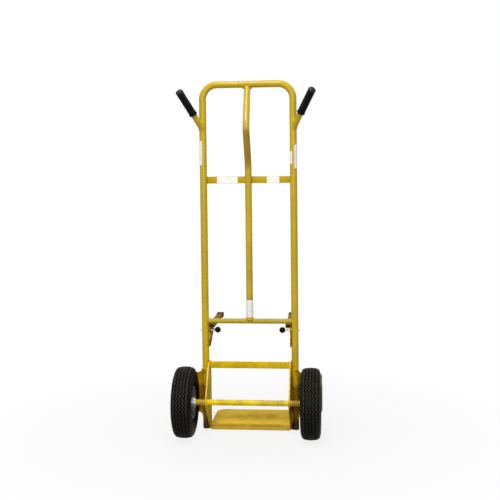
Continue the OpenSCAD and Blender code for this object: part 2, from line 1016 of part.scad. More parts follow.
module rim_bolt_set(side) {
    color(zinc)
        on_axle(side)
            translate([0, 0, wheel_x])
                at_rim_bolts() {
                    translate([0, 0, rim_t]) cylinder(h = head_h, d = head_d, $fn = 6);
                    translate([0, 0, -rim_t - 2 * head_h])
                        cylinder(h = 2 * (rim_t + head_h), d = rim_bolt_d);
                }
}

module rim_bolts_left() {
    rim_bolt_set(-1);
}

module rim_bolts_right() {
    rim_bolt_set(1);
}

module rim_nut_set(side) {
    color(zinc)
        on_axle(side)
            translate([0, 0, wheel_x])
                at_rim_bolts()
                    translate([0, 0, -rim_t - head_h])
                        difference() {
                            cylinder(h = head_h, d = head_d, $fn = 6);
                            translate([0, 0, -over]) cylinder(h = rim_w, d = rim_bolt_d + 2 * push_gap);
                        }
}

module rim_nuts_left() {
    rim_nut_set(-1);
}

module rim_nuts_right() {
    rim_nut_set(1);
}

module valve(side) {
    color(rubber)
        on_axle(side)
            translate([0, 0, wheel_x])
                at_valve() cylinder(h = valve_len, d = valve_d);
}

module valve_left() {
    valve(-1);
}

module valve_right() {
    valve(1);
}

main_frame();
centre_spine();
upper_crossbar();
lower_crossbar();
brace_bar();
axle_bracket_left();
axle_bracket_right();
axle_sleeve();
axle();
axle_washers();
cotter_pins();
toe_plate();
wheel_guard_left();
wheel_guard_right();
handle_left();
handle_right();
grip_left();
grip_right();
fork_left();
fork_right();
fork_gusset_left();
fork_gusset_right();
fork_tip_left();
fork_tip_right();
lock_pin_left();
lock_pin_right();
lock_knob_left();
lock_knob_right();
tyre_left();
tyre_right();
inner_tube_left();
inner_tube_right();
rim_outer_left();
rim_outer_right();
rim_inner_left();
rim_inner_right();
hub_left();
hub_right();
bearings_left();
bearings_right();
rim_bolts_left();
rim_bolts_right();
rim_nuts_left();
rim_nuts_right();
valve_left();
valve_right();
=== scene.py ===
"""Looks of a tall two-wheel trolley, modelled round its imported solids."""

import json
import math

import bmesh
import bpy
from bpy.props import FloatProperty, FloatVectorProperty, IntProperty, PointerProperty
from mathutils import Matrix, Vector

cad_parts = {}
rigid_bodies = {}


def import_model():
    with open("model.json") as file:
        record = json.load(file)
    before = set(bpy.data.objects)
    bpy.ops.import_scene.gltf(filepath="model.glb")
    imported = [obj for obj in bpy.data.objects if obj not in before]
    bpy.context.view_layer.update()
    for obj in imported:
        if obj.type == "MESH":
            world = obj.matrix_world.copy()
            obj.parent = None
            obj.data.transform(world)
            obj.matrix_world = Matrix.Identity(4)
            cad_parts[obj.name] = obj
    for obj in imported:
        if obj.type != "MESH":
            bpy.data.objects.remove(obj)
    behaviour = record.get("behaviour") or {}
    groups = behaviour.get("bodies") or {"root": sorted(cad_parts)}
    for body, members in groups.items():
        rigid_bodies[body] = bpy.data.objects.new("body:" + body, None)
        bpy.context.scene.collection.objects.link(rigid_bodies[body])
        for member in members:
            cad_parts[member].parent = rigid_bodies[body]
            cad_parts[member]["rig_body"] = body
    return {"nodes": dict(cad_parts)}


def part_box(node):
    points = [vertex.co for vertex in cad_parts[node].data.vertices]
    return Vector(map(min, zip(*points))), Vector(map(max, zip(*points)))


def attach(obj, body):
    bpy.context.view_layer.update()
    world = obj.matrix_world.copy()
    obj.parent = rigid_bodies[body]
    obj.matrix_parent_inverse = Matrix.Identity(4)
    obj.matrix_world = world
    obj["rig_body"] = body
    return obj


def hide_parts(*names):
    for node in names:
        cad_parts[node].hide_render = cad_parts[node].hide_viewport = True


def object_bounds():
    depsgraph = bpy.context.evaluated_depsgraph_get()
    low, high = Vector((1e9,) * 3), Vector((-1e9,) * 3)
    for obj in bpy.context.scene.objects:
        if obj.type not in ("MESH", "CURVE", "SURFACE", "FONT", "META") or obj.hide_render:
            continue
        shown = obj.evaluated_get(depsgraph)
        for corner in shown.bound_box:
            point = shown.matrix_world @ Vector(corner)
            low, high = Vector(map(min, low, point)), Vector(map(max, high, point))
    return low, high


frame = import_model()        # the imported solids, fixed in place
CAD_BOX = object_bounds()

bl_info = {
    "name": "Two-wheel trolley",
    "version": (1, 0, 0),
    "blender": (4, 5, 0),
    "location": "View3D > Sidebar > Trolley",
    "description": "Models the finish and fine parts of a two-wheel trolley round its solids",
    "category": "Add Mesh",
}

SIDES = {"left": -1, "right": 1}
ACROSS = Vector((1, 0, 0))
UP = Vector((0, 0, 1))
MERGE = 1e-5
MM = 0.001

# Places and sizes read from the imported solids
FRAME_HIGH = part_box("main_frame")[1]
TUBE_R = FRAME_HIGH.y
SIDE_X = FRAME_HIGH.x - TUBE_R
TOP_Z = FRAME_HIGH.z - TUBE_R
TYRE_LOW, TYRE_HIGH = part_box("tyre_right")
WHEEL = (TYRE_LOW + TYRE_HIGH) / 2
TYRE_R = (TYRE_HIGH.z - TYRE_LOW.z) / 2
TYRE_HALF = (TYRE_HIGH.x - TYRE_LOW.x) / 2
SPINE_LOW, SPINE_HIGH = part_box("centre_spine")
SPINE_R = SPINE_HIGH.x
LOWER_LOW, LOWER_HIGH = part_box("lower_crossbar")
UPPER_LOW, UPPER_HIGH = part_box("upper_crossbar")
BRACE_LOW, BRACE_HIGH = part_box("brace_bar")
BRACKET_LOW, BRACKET_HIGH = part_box("axle_bracket_right")
SLEEVE_LOW, SLEEVE_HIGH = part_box("axle_sleeve")
GUARD_LOW, GUARD_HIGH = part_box("wheel_guard_right")
TOE_LOW, TOE_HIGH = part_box("toe_plate")
GUSSET_LOW, GUSSET_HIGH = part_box("fork_gusset_right")
PIN_LOW, PIN_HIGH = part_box("lock_pin_right")
KNOB_LOW, KNOB_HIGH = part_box("lock_knob_right")

# The spine's first bend under the top bar, and the height above which hands have polished it
BEND_Y, BEND_Z = -0.072, 1.141
POLISHED_Z = 1.13


def setting(kind, **fixed):
    """A function that makes properties of one kind."""

    def made(name, description, default):
        return kind(name=name, description=description, default=default, **fixed)

    return made


number = setting(FloatProperty)
count = setting(IntProperty)
length = setting(FloatProperty, unit="LENGTH", precision=5)
angle = setting(FloatProperty, unit="ROTATION")
colour = setting(FloatVectorProperty, subtype="COLOR", size=3, min=0, max=1)


class TrolleySizes(bpy.types.PropertyGroup):
    """Sizes of the modelled details"""

    edge_round: length("Edge rounding", "Rounding of plate and bar edges", 0.0008)
    weld_r: length("Weld bead", "Radius of a weld bead", 0.0027)
    weld_pitch: length("Weld ripple", "Distance between the ripples of a bead", 0.0036)
    handle_z: length("Handle height", "Height at which the handles leave the uprights", 1.137)
    handle_lean: angle("Handle lean", "Lean of the handles away from upright", math.radians(38.8))
    handle_turn: angle("Handle turn", "Turn of the handles towards the operator", math.radians(47.6))
    handle_r: length("Handle radius", "Radius of a handle tube", 0.0111)
    grip_from: length("Grip start", "Distance of a grip's collar from the upright's axis", 0.0705)
    grip_to: length("Grip end", "Distance of a grip's tip from the upright's axis", 0.1825)
    grip_r: length("Grip radius", "Radius of a grip over its ribs", 0.01425)
    grip_collar_r: length("Collar radius", "Radius of a grip's collar", 0.0155)
    grip_ribs: count("Grip ribs", "Number of ribs round a grip", 14)
    zigzags: count("Zigzags", "Number of zigzags round a tread", 50)
    grooves: count("Grooves", "Number of grooves across a tread", 4)
    groove_w: length("Groove width", "Width of a tread groove at its mouth", 0.0042)
    groove_depth: length("Groove depth", "Depth of a tread groove", 0.0045)
    zigzag_swing: length("Zigzag swing", "Sideways swing of the tread grooves", 0.0034)
    sticker_t: length("Sticker thickness", "Thickness of a blank sticker", 0.0002)


class TrolleyColours(bpy.types.PropertyGroup):
    """Colours of the finishes, as linear values"""

    # Painted light and shade: the yellow is drawn brighter and more orange low on the frame (paint_low,
    # tube_low) than high up (paint)
    paint: colour("Paint", "Yellow powder coat, faded high on the frame", (0.475, 0.337, 0.011))
    paint_low: colour("Fresh paint", "Fuller yellow low on the frame", (0.72, 0.497, 0.004))
    paint_deep: colour("Paint in patches", "Deeper tone that mottles the yellow", (0.43, 0.295, 0.007))
    tube_low: colour("Upright paint", "Orange yellow low on the uprights", (0.7, 0.455, 0.002))
    # Painted shade: a darker, duller copy of the yellow, so the round lower crossbar loses its lit top
    shaded_bar_yellow: colour("Lower bar paint", "Dull yellow of the lower crossbar", (0.45, 0.35, 0.045))
    # Painted light: a brighter yellow for the spine low down
    spine: colour("Spine paint", "Yellow low on the spine", (0.65, 0.465, 0.018))
    # Painted light: a bright yellow for the axle sleeve, which catches the light
    sleeve: colour("Sleeve paint", "Bright yellow of the axle sleeve", (0.9, 0.66, 0.004))
    # Painted light: a warmer, brighter yellow for the guards, standing in for light bounced between the
    # yellow parts
    guard: colour("Guard paint", "Warmer yellow of the wheel guards", (0.92, 0.54, 0.006))
    toe: colour("Toe plate paint", "Paler yellow of the toe plate", (0.83, 0.558, 0.052))
    toe_streak: colour("Toe plate streaks", "Tan streaks across the toe plate", (0.61, 0.385, 0.026))
    toe_rub: colour("Toe plate rubs", "Brown of the toe plate's rubbed patch", (0.29, 0.175, 0.02))
    primer: colour("Worn paint", "What shows where the paint has gone", (0.16, 0.11, 0.06))
    # Brown dirt, and painted shade that darkens the steel towards the floor
    grime: colour("Grime", "Brown dirt that settles low on the frame", (0.045, 0.017, 0.003))
    # Brown for dirt and for painted shade beside the wheels, under the spine's bend and on the right
    # bracket's foot
    stain: colour("Wheel dirt", "Brown dirt that wheels and hands leave", (0.25, 0.1, 0.002))
    scuff: colour("Scuffs", "Grey rub marks on the paint", (0.3, 0.235, 0.085))
    # Rust brown, partly painted shade: the forks and gussets sit in shade under the crossbar
    rust: colour("Rust", "Rusty brown of the forks", (0.2, 0.09, 0.004))
    pale_rust_and_shade: colour("Pale rust", "Lighter tone of the rust", (0.27, 0.135, 0.012))
    rubber: colour("Rubber", "Black rubber of the grips", (0.003, 0.003, 0.0028))
    tyre: colour("Tyre", "Black of the tyres", (0.0022, 0.0022, 0.0016))
    # Dust is also the painted highlight along the tyres' rib crests
    dust: colour("Dust", "Dry dust on the tyres and rims", (0.078, 0.074, 0.056))
    # Painted shade: the rims' grey is drawn dark, as if in shade
    rim: colour("Rim", "Grey paint of the rims", (0.13, 0.127, 0.116))
    zinc: colour("Zinc", "Bright plated steel", (0.66, 0.66, 0.64))
    plastic: colour("Plastic", "Black plastic of the caps and knobs", (0.0025, 0.0025, 0.0025))
    sticker: colour("Sticker", "White vinyl of the blank stickers", (0.78, 0.78, 0.75))
    floor: colour("Floor", "Pale studio floor", (0.5, 0.5, 0.5))


class TrolleyStage(bpy.types.PropertyGroup):
    """Camera and light of the studio"""

    distance: length("Distance", "Camera's distance from the frame along its bearing", 3.495)
    aside: length("Aside", "Camera's shift across its bearing", -0.0013)
    height: length("Height", "Camera's height above the floor", 1.006)
    yaw: angle("Bearing", "Camera's bearing to the operator's right", math.radians(5.77))
    pitch: angle("Pitch", "Camera's tilt below the horizon", math.radians(2.64))
    roll: angle("Roll", "Camera's roll", math.radians(-0.64))
    focal_px: number("Focal length", "Focal length in pixels of a 500 pixel picture", 930)
    centre_x: number("Principal point across", "Its place in a 500 pixel picture", 248.3)
    centre_y: number("Principal point down", "Its place in a 500 pixel picture", 207.0)
    world: number("Ambient light", "Strength of the even light", 0.24)
    key_power: number("Key light", "Power of the lamp over the camera", 70)
    top_power: number("Top light", "Power of the lamp over the trolley", 30)
    front_power: number("Front light", "Power of the lamp beside the camera", 33)
    back_power: number("Back light", "Power of the lamp beyond the toe plate", 14)
    fill_power: number("Fill light", "Power of the lamp at the left", 6)


class TrolleySettings(bpy.types.PropertyGroup):
    """All that a user may change"""

    sizes: PointerProperty(type=TrolleySizes)
    colours: PointerProperty(type=TrolleyColours)
    stage: PointerProperty(type=TrolleyStage)


def settings():
    """The scene's trolley settings."""
    return bpy.context.scene.trolley


def tint(name, share=1.0):
    """A colour setting by name, times a share."""
    return [share * part for part in getattr(settings().colours, name)]


# Selecting and placing

def object_mode():
    """Leaves edit mode."""
    if bpy.context.mode != "OBJECT":
        bpy.ops.object.mode_set(mode="OBJECT")


def deselect():
    """Leaves edit mode with nothing selected."""
    object_mode()
    bpy.ops.object.select_all(action="DESELECT")


def only(obj):
    """Makes an object the only one selected."""
    deselect()
    obj.select_set(True)
    bpy.context.view_layer.objects.active = obj


def edit(obj):
    """Opens an object in edit mode with all of it selected."""
    only(obj)
    bpy.ops.object.mode_set(mode="EDIT")
    bpy.ops.mesh.select_mode(type="VERT")
    bpy.ops.mesh.select_all(action="SELECT")


def pick(obj, kind, test):
    """In edit mode, selects the vertices or faces that pass a test."""
    bpy.ops.mesh.select_mode(type=kind)
    bpy.ops.mesh.select_all(action="DESELECT")
    mesh = bmesh.from_edit_mesh(obj.data)
    chosen = [part for part in (mesh.verts if kind == "VERT" else mesh.faces) if test(part)]
    if not chosen:
        raise RuntimeError("nothing to select on " + obj.name)
    for part in chosen:
        part.select_set(True)
    mesh.select_flush_mode()
    bmesh.update_edit_mesh(obj.data)


def linked(name, data):
    """A new object in the scene."""
    obj = bpy.data.objects.new(name, data)
    bpy.context.scene.collection.objects.link(obj)
    return obj


def place(obj, matrix):
    """Moves a finished shape to its place and leaves the object at the origin."""
    only(obj)
    obj.matrix_world = matrix
    bpy.ops.object.transform_apply(location=True, rotation=True, scale=True)
    return obj


def copied(obj, matrix):
    """A copy with its own mesh, moved by a matrix."""
    return place(linked(obj.name, obj.data.copy()), matrix)


def outwards(sign, x, y, z):
    """The matrix of a place on one side, with Z turned outwards."""
    return Matrix.Translation((sign * x, y, z)) @ Matrix.Rotation(sign * math.pi / 2, 4, "Y")


def apply_modifier(obj, kind, **values):
    """Adds a modifier, sets it and applies it."""
    only(obj)
    modifier = obj.modifiers.new(kind.lower(), kind)
    for key, value in values.items():
        setattr(modifier, key, value)
    bpy.ops.object.modifier_apply(modifier=modifier.name)


def joined(pieces):
    """Joins pieces into the first of them."""
    deselect()
    for piece in pieces:
        piece.select_set(True)
    bpy.context.view_layer.objects.active = pieces[0]
    bpy.ops.object.join()
    return bpy.context.view_layer.objects.active


def mark(obj, name, values, domain="FACE"):
    """Keeps a value of each face or point as an attribute that a finish follows."""
    obj.data.attributes.new(name, "FLOAT", domain).data.foreach_set("value", values)


def polish(obj, share, shines):
    """Marks how much the faces that pass a test shine."""
    mark(obj, "polish", [share * shines(face) for face in obj.data.polygons])


def repaint(obj, look):
    """Gives an object one finish."""
    obj.data.materials.clear()
    obj.data.materials.append(finish(look))


def dress(obj, name, body, look, replaced=(), smooth=35):
    """Names and shades a finished piece, gives it its finish and ties it to its body."""
    only(obj)
    bpy.ops.object.shade_smooth_by_angle(angle=math.radians(smooth))
    obj.name = name
    obj.data.name = name
    repaint(obj, look)
    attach(obj, body)
    if replaced:
        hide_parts(*replaced)
    return obj


# Modelling

def turns(steps):
    """Angles spaced evenly round a circle."""
    return [math.tau * k / steps for k in range(steps)]


def bearing_share(at):
    """How far round Z a place lies, in turns from -0.5 to 0.5."""
    return math.atan2(at.y, at.x) / math.tau


def lathe(name, profile, steps):
    """Draws a profile of radius and height point by point and spins it about Z."""
    deselect()
    bpy.ops.mesh.primitive_plane_add(size=MM)
    obj = bpy.context.object
    obj.name = name
    points = [Vector((radius, 0, height)) for radius, height in profile]
    edit(obj)
    bpy.ops.mesh.merge(type="CENTER")
    bpy.ops.transform.translate(value=points[0])
    for start, end in zip(points, points[1:]):
        bpy.ops.mesh.extrude_vertices_move(TRANSFORM_OT_translate={"value": end - start})
    bpy.ops.mesh.select_all(action="SELECT")
    bpy.ops.mesh.spin(steps=steps, angle=math.tau, center=(0, 0, 0), axis=UP)
    bpy.ops.mesh.select_all(action="SELECT")
    bpy.ops.mesh.remove_doubles(threshold=MERGE)
    bpy.ops.mesh.normals_make_consistent(inside=False)
    object_mode()
    return obj


def round_off(node, look, width, sharp=30, smooth=35):
    """Puts a copy with rounded edges in the place of a solid, and marks its edges for wear."""
    solid = frame["nodes"][node]
    obj = linked(node + "_rounded", solid.data.copy())
    obj.data.materials.clear()
    for _ in range(2):
        obj.data.materials.append(None)
    edit(obj)
    bpy.ops.mesh.remove_doubles(threshold=MERGE)
    bpy.ops.mesh.dissolve_limited(angle_limit=math.radians(1))
    object_mode()
    bpy.ops.mesh.customdata_custom_splitnormals_clear()
    apply_modifier(obj, "BEVEL", width=width, segments=2, limit_method="ANGLE", material=1,
                   angle_limit=math.radians(sharp), use_clamp_overlap=False)
    edges = [float(face.material_index == 1) for face in obj.data.polygons]
    mark(obj, "edge", edges)
    obj.data.polygons.foreach_set("material_index", [0] * len(edges))
    apply_modifier(obj, "WEIGHTED_NORMAL", keep_sharp=True)
    return dress(obj, node + "_rounded", solid["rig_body"], look, [node], smooth)


def resampled(points, step, cyclic):
    """Points spaced evenly along a line, an even number of them."""
    line = points + [points[0]] if cyclic else points
    runs = [(b - a).length for a, b in zip(line, line[1:])]
    pieces = max(2, 2 * round(sum(runs) / step / 2))
    made, walked, index = [], 0.0, 0
    for k in range(pieces if cyclic else pieces + 1):
        at = sum(runs) * k / pieces
        while index < len(runs) - 1 and walked + runs[index] < at:
            walked += runs[index]
            index += 1
        share = (at - walked) / runs[index] if runs[index] else 0
        made.append(line[index].lerp(line[index + 1], share))
    return made


def wire(name, points, radius, cyclic=False, ripple=1.0, sides=2):
    """A round wire or bead along points, whose thickness may ripple."""
    curve = bpy.data.curves.new(name, "CURVE")
    curve.dimensions = "3D"
    curve.bevel_depth = radius
    curve.bevel_resolution = sides
    curve.use_fill_caps = True
    spline = curve.splines.new("POLY")
    spline.points.add(len(points) - 1)
    spline.use_cyclic_u = cyclic
    for k, (point, at) in enumerate(zip(spline.points, points)):
        point.co = (*at, 1)
        point.radius = ripple if k % 2 else 1
    only(linked(name, curve))
    bpy.ops.object.convert(target="MESH")
    return bpy.context.object


# Shader building

class Tree:
    """Builds the nodes of a shader tree, whose patterns follow the vector at."""

    at = None

    def __init__(self, tree):
        self.tree = tree

    def fill(self, node, inputs):
        """Links or sets a node's inputs."""
        for key, value in inputs.items():
            if isinstance(value, bpy.types.NodeSocket):
                self.tree.links.new(value, node.inputs[key])
            else:
                node.inputs[key].default_value = value

    def add(self, kind, inputs=None, **values):
        """Adds a node, sets its properties and fills its inputs."""
        made = self.tree.nodes.new(kind)
        for key, value in values.items():
            setattr(made, key, value)
        self.fill(made, inputs or {})
        return made

    def noise(self, scale, detail=4.0, roughness=0.55, at=None):
        """Smooth noise between 0 and 1."""
        inputs = {"Vector": at or self.at, "Scale": scale, "Detail": detail, "Roughness": roughness}
        return self.add("ShaderNodeTexNoise", inputs).outputs[0]

    def span(self, value, low, high, to_low=0.0, to_high=1.0):
        """A value's share between two limits, held at the ends."""
        inputs = {"Value": value, "From Min": low, "From Max": high, "To Min": to_low, "To Max": to_high}
        return self.add("ShaderNodeMapRange", inputs).outputs[0]

    def between(self, share, first, second):
        """A value that runs from the first to the second."""
        return self.span(share, 0.0, 1.0, first, second)

    def maths(self, operation, first, second):
        """One operation on two values."""
        return self.add("ShaderNodeMath", {0: first, 1: second}, operation=operation).outputs[0]

    def times(self, first, second):
        """The product of two values."""
        return self.maths("MULTIPLY", first, second)

    def plus(self, first, second):
        """The sum of two values."""
        return self.maths("ADD", first, second)

    def most(self, first, second):
        """The larger of two values."""
        return self.maths("MAXIMUM", first, second)

    def mix(self, share, first, second):
        """A colour between two colours."""
        inputs = {0: share}
        for key, shade in ((6, first), (7, second)):
            inputs[key] = shade if isinstance(shade, bpy.types.NodeSocket) else (*shade, 1)
        return self.add("ShaderNodeMix", inputs, data_type="RGBA").outputs[2]

    def moved(self, scale, turn=(0, 0, 0), by=(0, 0, 0)):
        """The vector scaled, turned and moved."""
        inputs = {"Vector": self.at, "Scale": scale, "Rotation": turn, "Location": by}
        return self.add("ShaderNodeMapping", inputs).outputs[0]

    def axis(self, index):
        """One of the vector's parts."""
        return self.add("ShaderNodeSeparateXYZ", {0: self.at}).outputs[index]

    def away(self, vector):
        """A vector's length."""
        return self.add("ShaderNodeVectorMath", {0: vector}, operation="LENGTH").outputs["Value"]

    def attribute(self, name):
        """A value that was marked on the mesh."""
        return self.add("ShaderNodeAttribute", attribute_name=name).outputs["Fac"]

    def effect(self, name, **values):
        """Places a shared effect and returns its value."""
        if name not in BUILT:
            BUILT[name] = GROUPS[name]()
        return self.add("ShaderNodeGroup", {"Vector": self.at, **values}, node_tree=BUILT[name]).outputs[0]


class Group(Tree):
    """A shared effect, with a vector and named values in and one value out."""

    def __init__(self, name, *inputs):
        super().__init__(bpy.data.node_groups.new(name, "ShaderNodeTree"))
        self.socket("Vector", "INPUT", "NodeSocketVector")
        for key in inputs:
            self.socket(key, "INPUT")
        self.given = self.tree.nodes.new("NodeGroupInput").outputs
        self.at = self.given["Vector"]

    def socket(self, name, way, kind="NodeSocketFloat"):
        """Adds an input or output."""
        self.tree.interface.new_socket(name=name, in_out=way, socket_type=kind)

    def give(self, name, value):
        """Ends the group with its output."""
        self.socket(name, "OUTPUT")
        self.fill(self.tree.nodes.new("NodeGroupOutput"), {name: value})
        return self.tree


class Finish(Tree):
    """A material with a mottled tone, whose patterns follow places on the object."""

    def __init__(self, name, mottle):
        self.material = bpy.data.materials.new(name)
        self.material.use_nodes = True
        super().__init__(self.material.node_tree)
        self.shader = self.tree.nodes["Principled BSDF"]
        self.at = self.add("ShaderNodeTexCoord").outputs["Object"]
        self.tone = self.effect("mottle", Scale=mottle)

    def shine(self, rough):
        """Gives the faces that are marked as polished a clear coat."""
        self.fill(self.shader, {"Coat Weight": self.attribute("polish"), "Coat Roughness": rough})

    def done(self, shade, rough, height, strength, distance, gloss=0.5):
        """Feeds the shader and returns the material."""
        relief = self.add("ShaderNodeBump", {"Height": height, "Strength": strength, "Distance": distance})
        self.fill(self.shader, {"Base Color": shade, "Roughness": rough, "Normal": relief.outputs[0],
                                "Specular IOR Level": gloss})
        return self.material


def mottle_group():
    """Slow patches of tone over a finish."""
    group = Group("Mottled tone", "Scale")
    coarse = group.noise(group.given["Scale"])
    fine = group.noise(group.times(group.given["Scale"], 7.0), 2.0)
    both = group.plus(group.times(coarse, 0.75), group.times(fine, 0.25))
    return group.give("Tone", group.span(both, 0.35, 0.65))


def grime_and_shade_group():
    """Dirt and painted shade that thicken towards the floor, in broken patches."""
    group = Group("Settled grime", "Reach", "Amount")
    low = group.maths("SUBTRACT", 1.0, group.span(group.axis(2), 0.0, group.given["Reach"]))
    patches = group.span(group.noise(38.0, 6.0, 0.62), 0.36, 0.7)
    film = group.times(low, group.plus(group.times(patches, 0.5), 0.5))
    return group.give("Mask", group.span(group.times(film, group.given["Amount"]), 0.0, 1.0))


def scuff_group():
    """Short rub marks in two directions."""
    group = Group("Rub marks", "Scale", "Amount")
    marks = []
    for stretch, turn in (((1, 0.06, 1), (0, 0, 0.35)), ((0.05, 1, 1), (0.1, 0, -0.2))):
        lines = group.noise(group.given["Scale"], 3.0, 0.6, group.moved(stretch, turn))
        marks.append(group.span(lines, 0.62, 0.7))
    where = group.span(group.noise(9.0, 2.0), 0.42, 0.62)
    return group.give("Mask", group.times(group.times(group.most(*marks), where), group.given["Amount"]))


def wear_group():
    """Chips along rounded edges."""
    group = Group("Worn edge", "Edge", "Amount")
    chips = group.span(group.noise(95.0, 5.0, 0.65), 0.54, 0.6)
    where = group.span(group.noise(14.0, 2.0), 0.44, 0.58)
    both = group.times(group.times(chips, where), group.given["Edge"])
    return group.give("Mask", group.times(both, group.given["Amount"]))


def grain_group():
    """Fine relief of a sprayed, moulded or cast skin."""
    group = Group("Skin grain", "Scale")
    broad = group.noise(group.given["Scale"], 2.0)
    fine = group.noise(group.times(group.given["Scale"], 3.2), 2.0)
    return group.give("Height", group.plus(broad, group.times(fine, 0.35)))


GROUPS = {"mottle": mottle_group, "grime": grime_and_shade_group, "scuff": scuff_group, "wear": wear_group,
          "grain": grain_group}
BUILT = {}


def toe_rubs(made):
    """Long streaks, a rubbed patch and a worn lip on the toe plate."""
    streaks = made.span(made.noise(7.0, 8.0, 0.72, made.moved((2.5, 9, 9))), 0.42, 0.66, 0.0, 0.6)
    away = made.away(made.moved((5, 10, 0), by=(-0.1, -1.7, 0)))
    patch = made.times(made.span(away, 1.0, 0.1), made.span(made.noise(22.0, 6.0), 0.25, 0.6))
    lip = made.times(made.span(made.axis(2), TOE_HIGH.z - 0.013, TOE_HIGH.z - 0.008),
                     made.span(made.noise(30.0, 5.0), 0.3, 0.55, 0.25, 0.7))
    return [(streaks, "toe_streak"), (made.most(made.times(patch, 0.75), lip), "toe_rub")]


def wheel_dirt_and_shade(made):
    """Brown patches low beside the wheels: dirt thrown up by the wheels, and painted shade."""
    patches = made.span(made.noise(24.0, 6.0, 0.62), 0.3, 0.62, 0.6, 0.95)
    low = made.span(made.axis(2), WHEEL.z + 0.047, WHEEL.z + 0.032)
    return [(made.times(low, patches), "stain")]


def darker_sleeve_ends(made):
    """Darkens the ends of the axle sleeve outside the brackets, the right end more."""
    across = made.axis(0)
    ends = [made.span(across, sign * BRACKET_HIGH.x, sign * (BRACKET_HIGH.x + 0.006), 0.0, share)
            for sign, share in ((-1, 0.52), (1, 0.88))]
    return [(made.most(*ends), "stain")]


def painted_bracket_shade(made):
    """Painted shade on the foot of the right bracket, beside the wheel."""
    right = made.span(made.axis(0), 0.0, BRACKET_LOW.x, 0.0, 0.9)
    low = made.span(made.axis(2), WHEEL.z + 0.012, WHEEL.z - 0.02)
    return [(made.times(right, low), "stain")]


def painted_spine_shade(made):
    """Painted shade on the stretch of the spine under its bend, which faces down."""
    height = made.axis(2)
    under_bend = made.times(made.span(height, BEND_Z - 0.171, BEND_Z - 0.111),
                      made.span(height, BEND_Z + 0.009, BEND_Z - 0.021))
    patches = made.span(made.noise(18.0, 5.0, 0.6), 0.3, 0.65, 0.32, 0.62)
    return [(made.times(under_bend, patches), "stain")]


def painted(name, reach, grime, scuff, wear, dull, gloss, base="paint", low="paint_low", fade=(0.25, 0.6),
            extra_layers=None):
    """Yellow powder coat with painted light low down, extra marks of wear, dirt and painted shade, rub marks
    and chipped edges.
    """
    made = Finish(name, mottle=11.0)
    # Dirt and painted shade: browner, darker paint towards the floor
    dirt = made.effect("grime", Reach=reach, Amount=grime)
    rubs = made.effect("scuff", Scale=120.0, Amount=scuff)
    chips = made.effect("wear", Edge=made.attribute("edge"), Amount=wear)
    deep = [part * share / full for part, share, full in zip(tint(base), tint("paint_deep"), tint("paint"))]
    # Painted light: the paint runs from a brighter low colour near the floor to the base colour higher up
    shaded = made.mix(made.span(made.axis(2), *fade), tint(low), tint(base))
    shade = made.mix(made.tone, deep, shaded)
    layers = extra_layers(made) if extra_layers else []
    for share, over in (*layers, (rubs, "scuff"), (dirt, "grime"), (chips, "primer")):
        shade = made.mix(share, shade, tint(over))
    rough = made.plus(made.between(made.tone, dull + 0.06, dull - 0.02), made.times(dirt, 0.35))
    rough = made.plus(rough, made.times(rubs, 0.15))
    made.shine(rough=0.25)
    height = made.effect("grain", Scale=420.0)
    return made.done(shade, rough, height, strength=0.09, distance=0.0006, gloss=gloss)


def rust_and_shade_finish(name, bare):
    """Rust brown, partly painted shade under the crossbar, that has eaten most of the paint."""
    made = Finish(name, mottle=45.0)
    left = made.span(made.noise(34.0, 9.0, 0.68), bare, bare + 0.05)
    rubs = made.effect("scuff", Scale=120.0, Amount=0.4)
    shade = made.mix(made.tone, tint("rust"), tint("pale_rust_and_shade"))
    shade = made.mix(left, shade, tint("paint_deep"))
    shade = made.mix(rubs, shade, tint("pale_rust_and_shade"))
    height = made.plus(made.effect("grain", Scale=260.0), made.times(left, 0.8))
    rough = made.between(left, 0.78, 0.42)
    return made.done(shade, rough, height, strength=0.2, distance=0.0006, gloss=0.1)


def black(name, base, rough, grain, strength, gloss):
    """Black rubber or plastic with a moulded skin and pale handling marks."""
    made = Finish(name, mottle=30.0)
    rubs = made.effect("scuff", Scale=160.0, Amount=0.2)
    shade = made.mix(made.tone, tint(base), tint(base, 1.6))
    shade = made.mix(rubs, shade, tint("dust"))
    height = made.effect("grain", Scale=grain)
    made.shine(rough=0.1)
    rough = made.between(made.tone, rough, rough + 0.12)
    return made.done(shade, rough, height, strength, distance=0.0004, gloss=gloss)


def tyre_rubber(name):
    """Tyre rubber with dust and a painted highlight on the rib crests, painted darker towards the bottom,
    and a thin film of dust on the sidewalls.
    """
    made = Finish(name, mottle=26.0)
    patches = made.span(made.noise(60.0, 6.0, 0.65), 0.25, 0.7, 0.45, 1.0)
    # Painted shade: the crest marks fade towards the bottom of the tyre
    lit_higher_up = made.span(made.axis(2), WHEEL.z - 0.8 * TYRE_R, WHEEL.z + 0.2 * TYRE_R, 0.3, 1.0)
    worn = made.times(made.maths("POWER", made.attribute("rib"), 2.6), made.times(patches, lit_higher_up))
    film = made.most(worn, made.times(made.tone, 0.04))
    shade = made.mix(film, tint("tyre"), tint("dust"))
    height = made.effect("grain", Scale=520.0)
    rough = made.between(film, 0.5, 0.8)
    return made.done(shade, rough, height, strength=0.2, distance=0.0005, gloss=0.04)


def rim_paint(name):
    """Grey paint on pressed steel, drawn dark as painted shade, with dust."""
    made = Finish(name, mottle=22.0)
    chips = made.effect("wear", Edge=made.attribute("edge"), Amount=0.7)
    dirt = made.span(made.noise(45.0, 6.0, 0.65), 0.5, 0.78, 0.0, 0.55)
    shade = made.mix(made.tone, tint("rim", 0.86), tint("rim"))
    shade = made.mix(dirt, shade, tint("dust"))
    shade = made.mix(chips, shade, tint("primer"))
    height = made.effect("grain", Scale=380.0)
    rough = made.span(dirt, 0.0, 0.55, 0.32, 0.7)
    return made.done(shade, rough, height, strength=0.08, distance=0.0005)


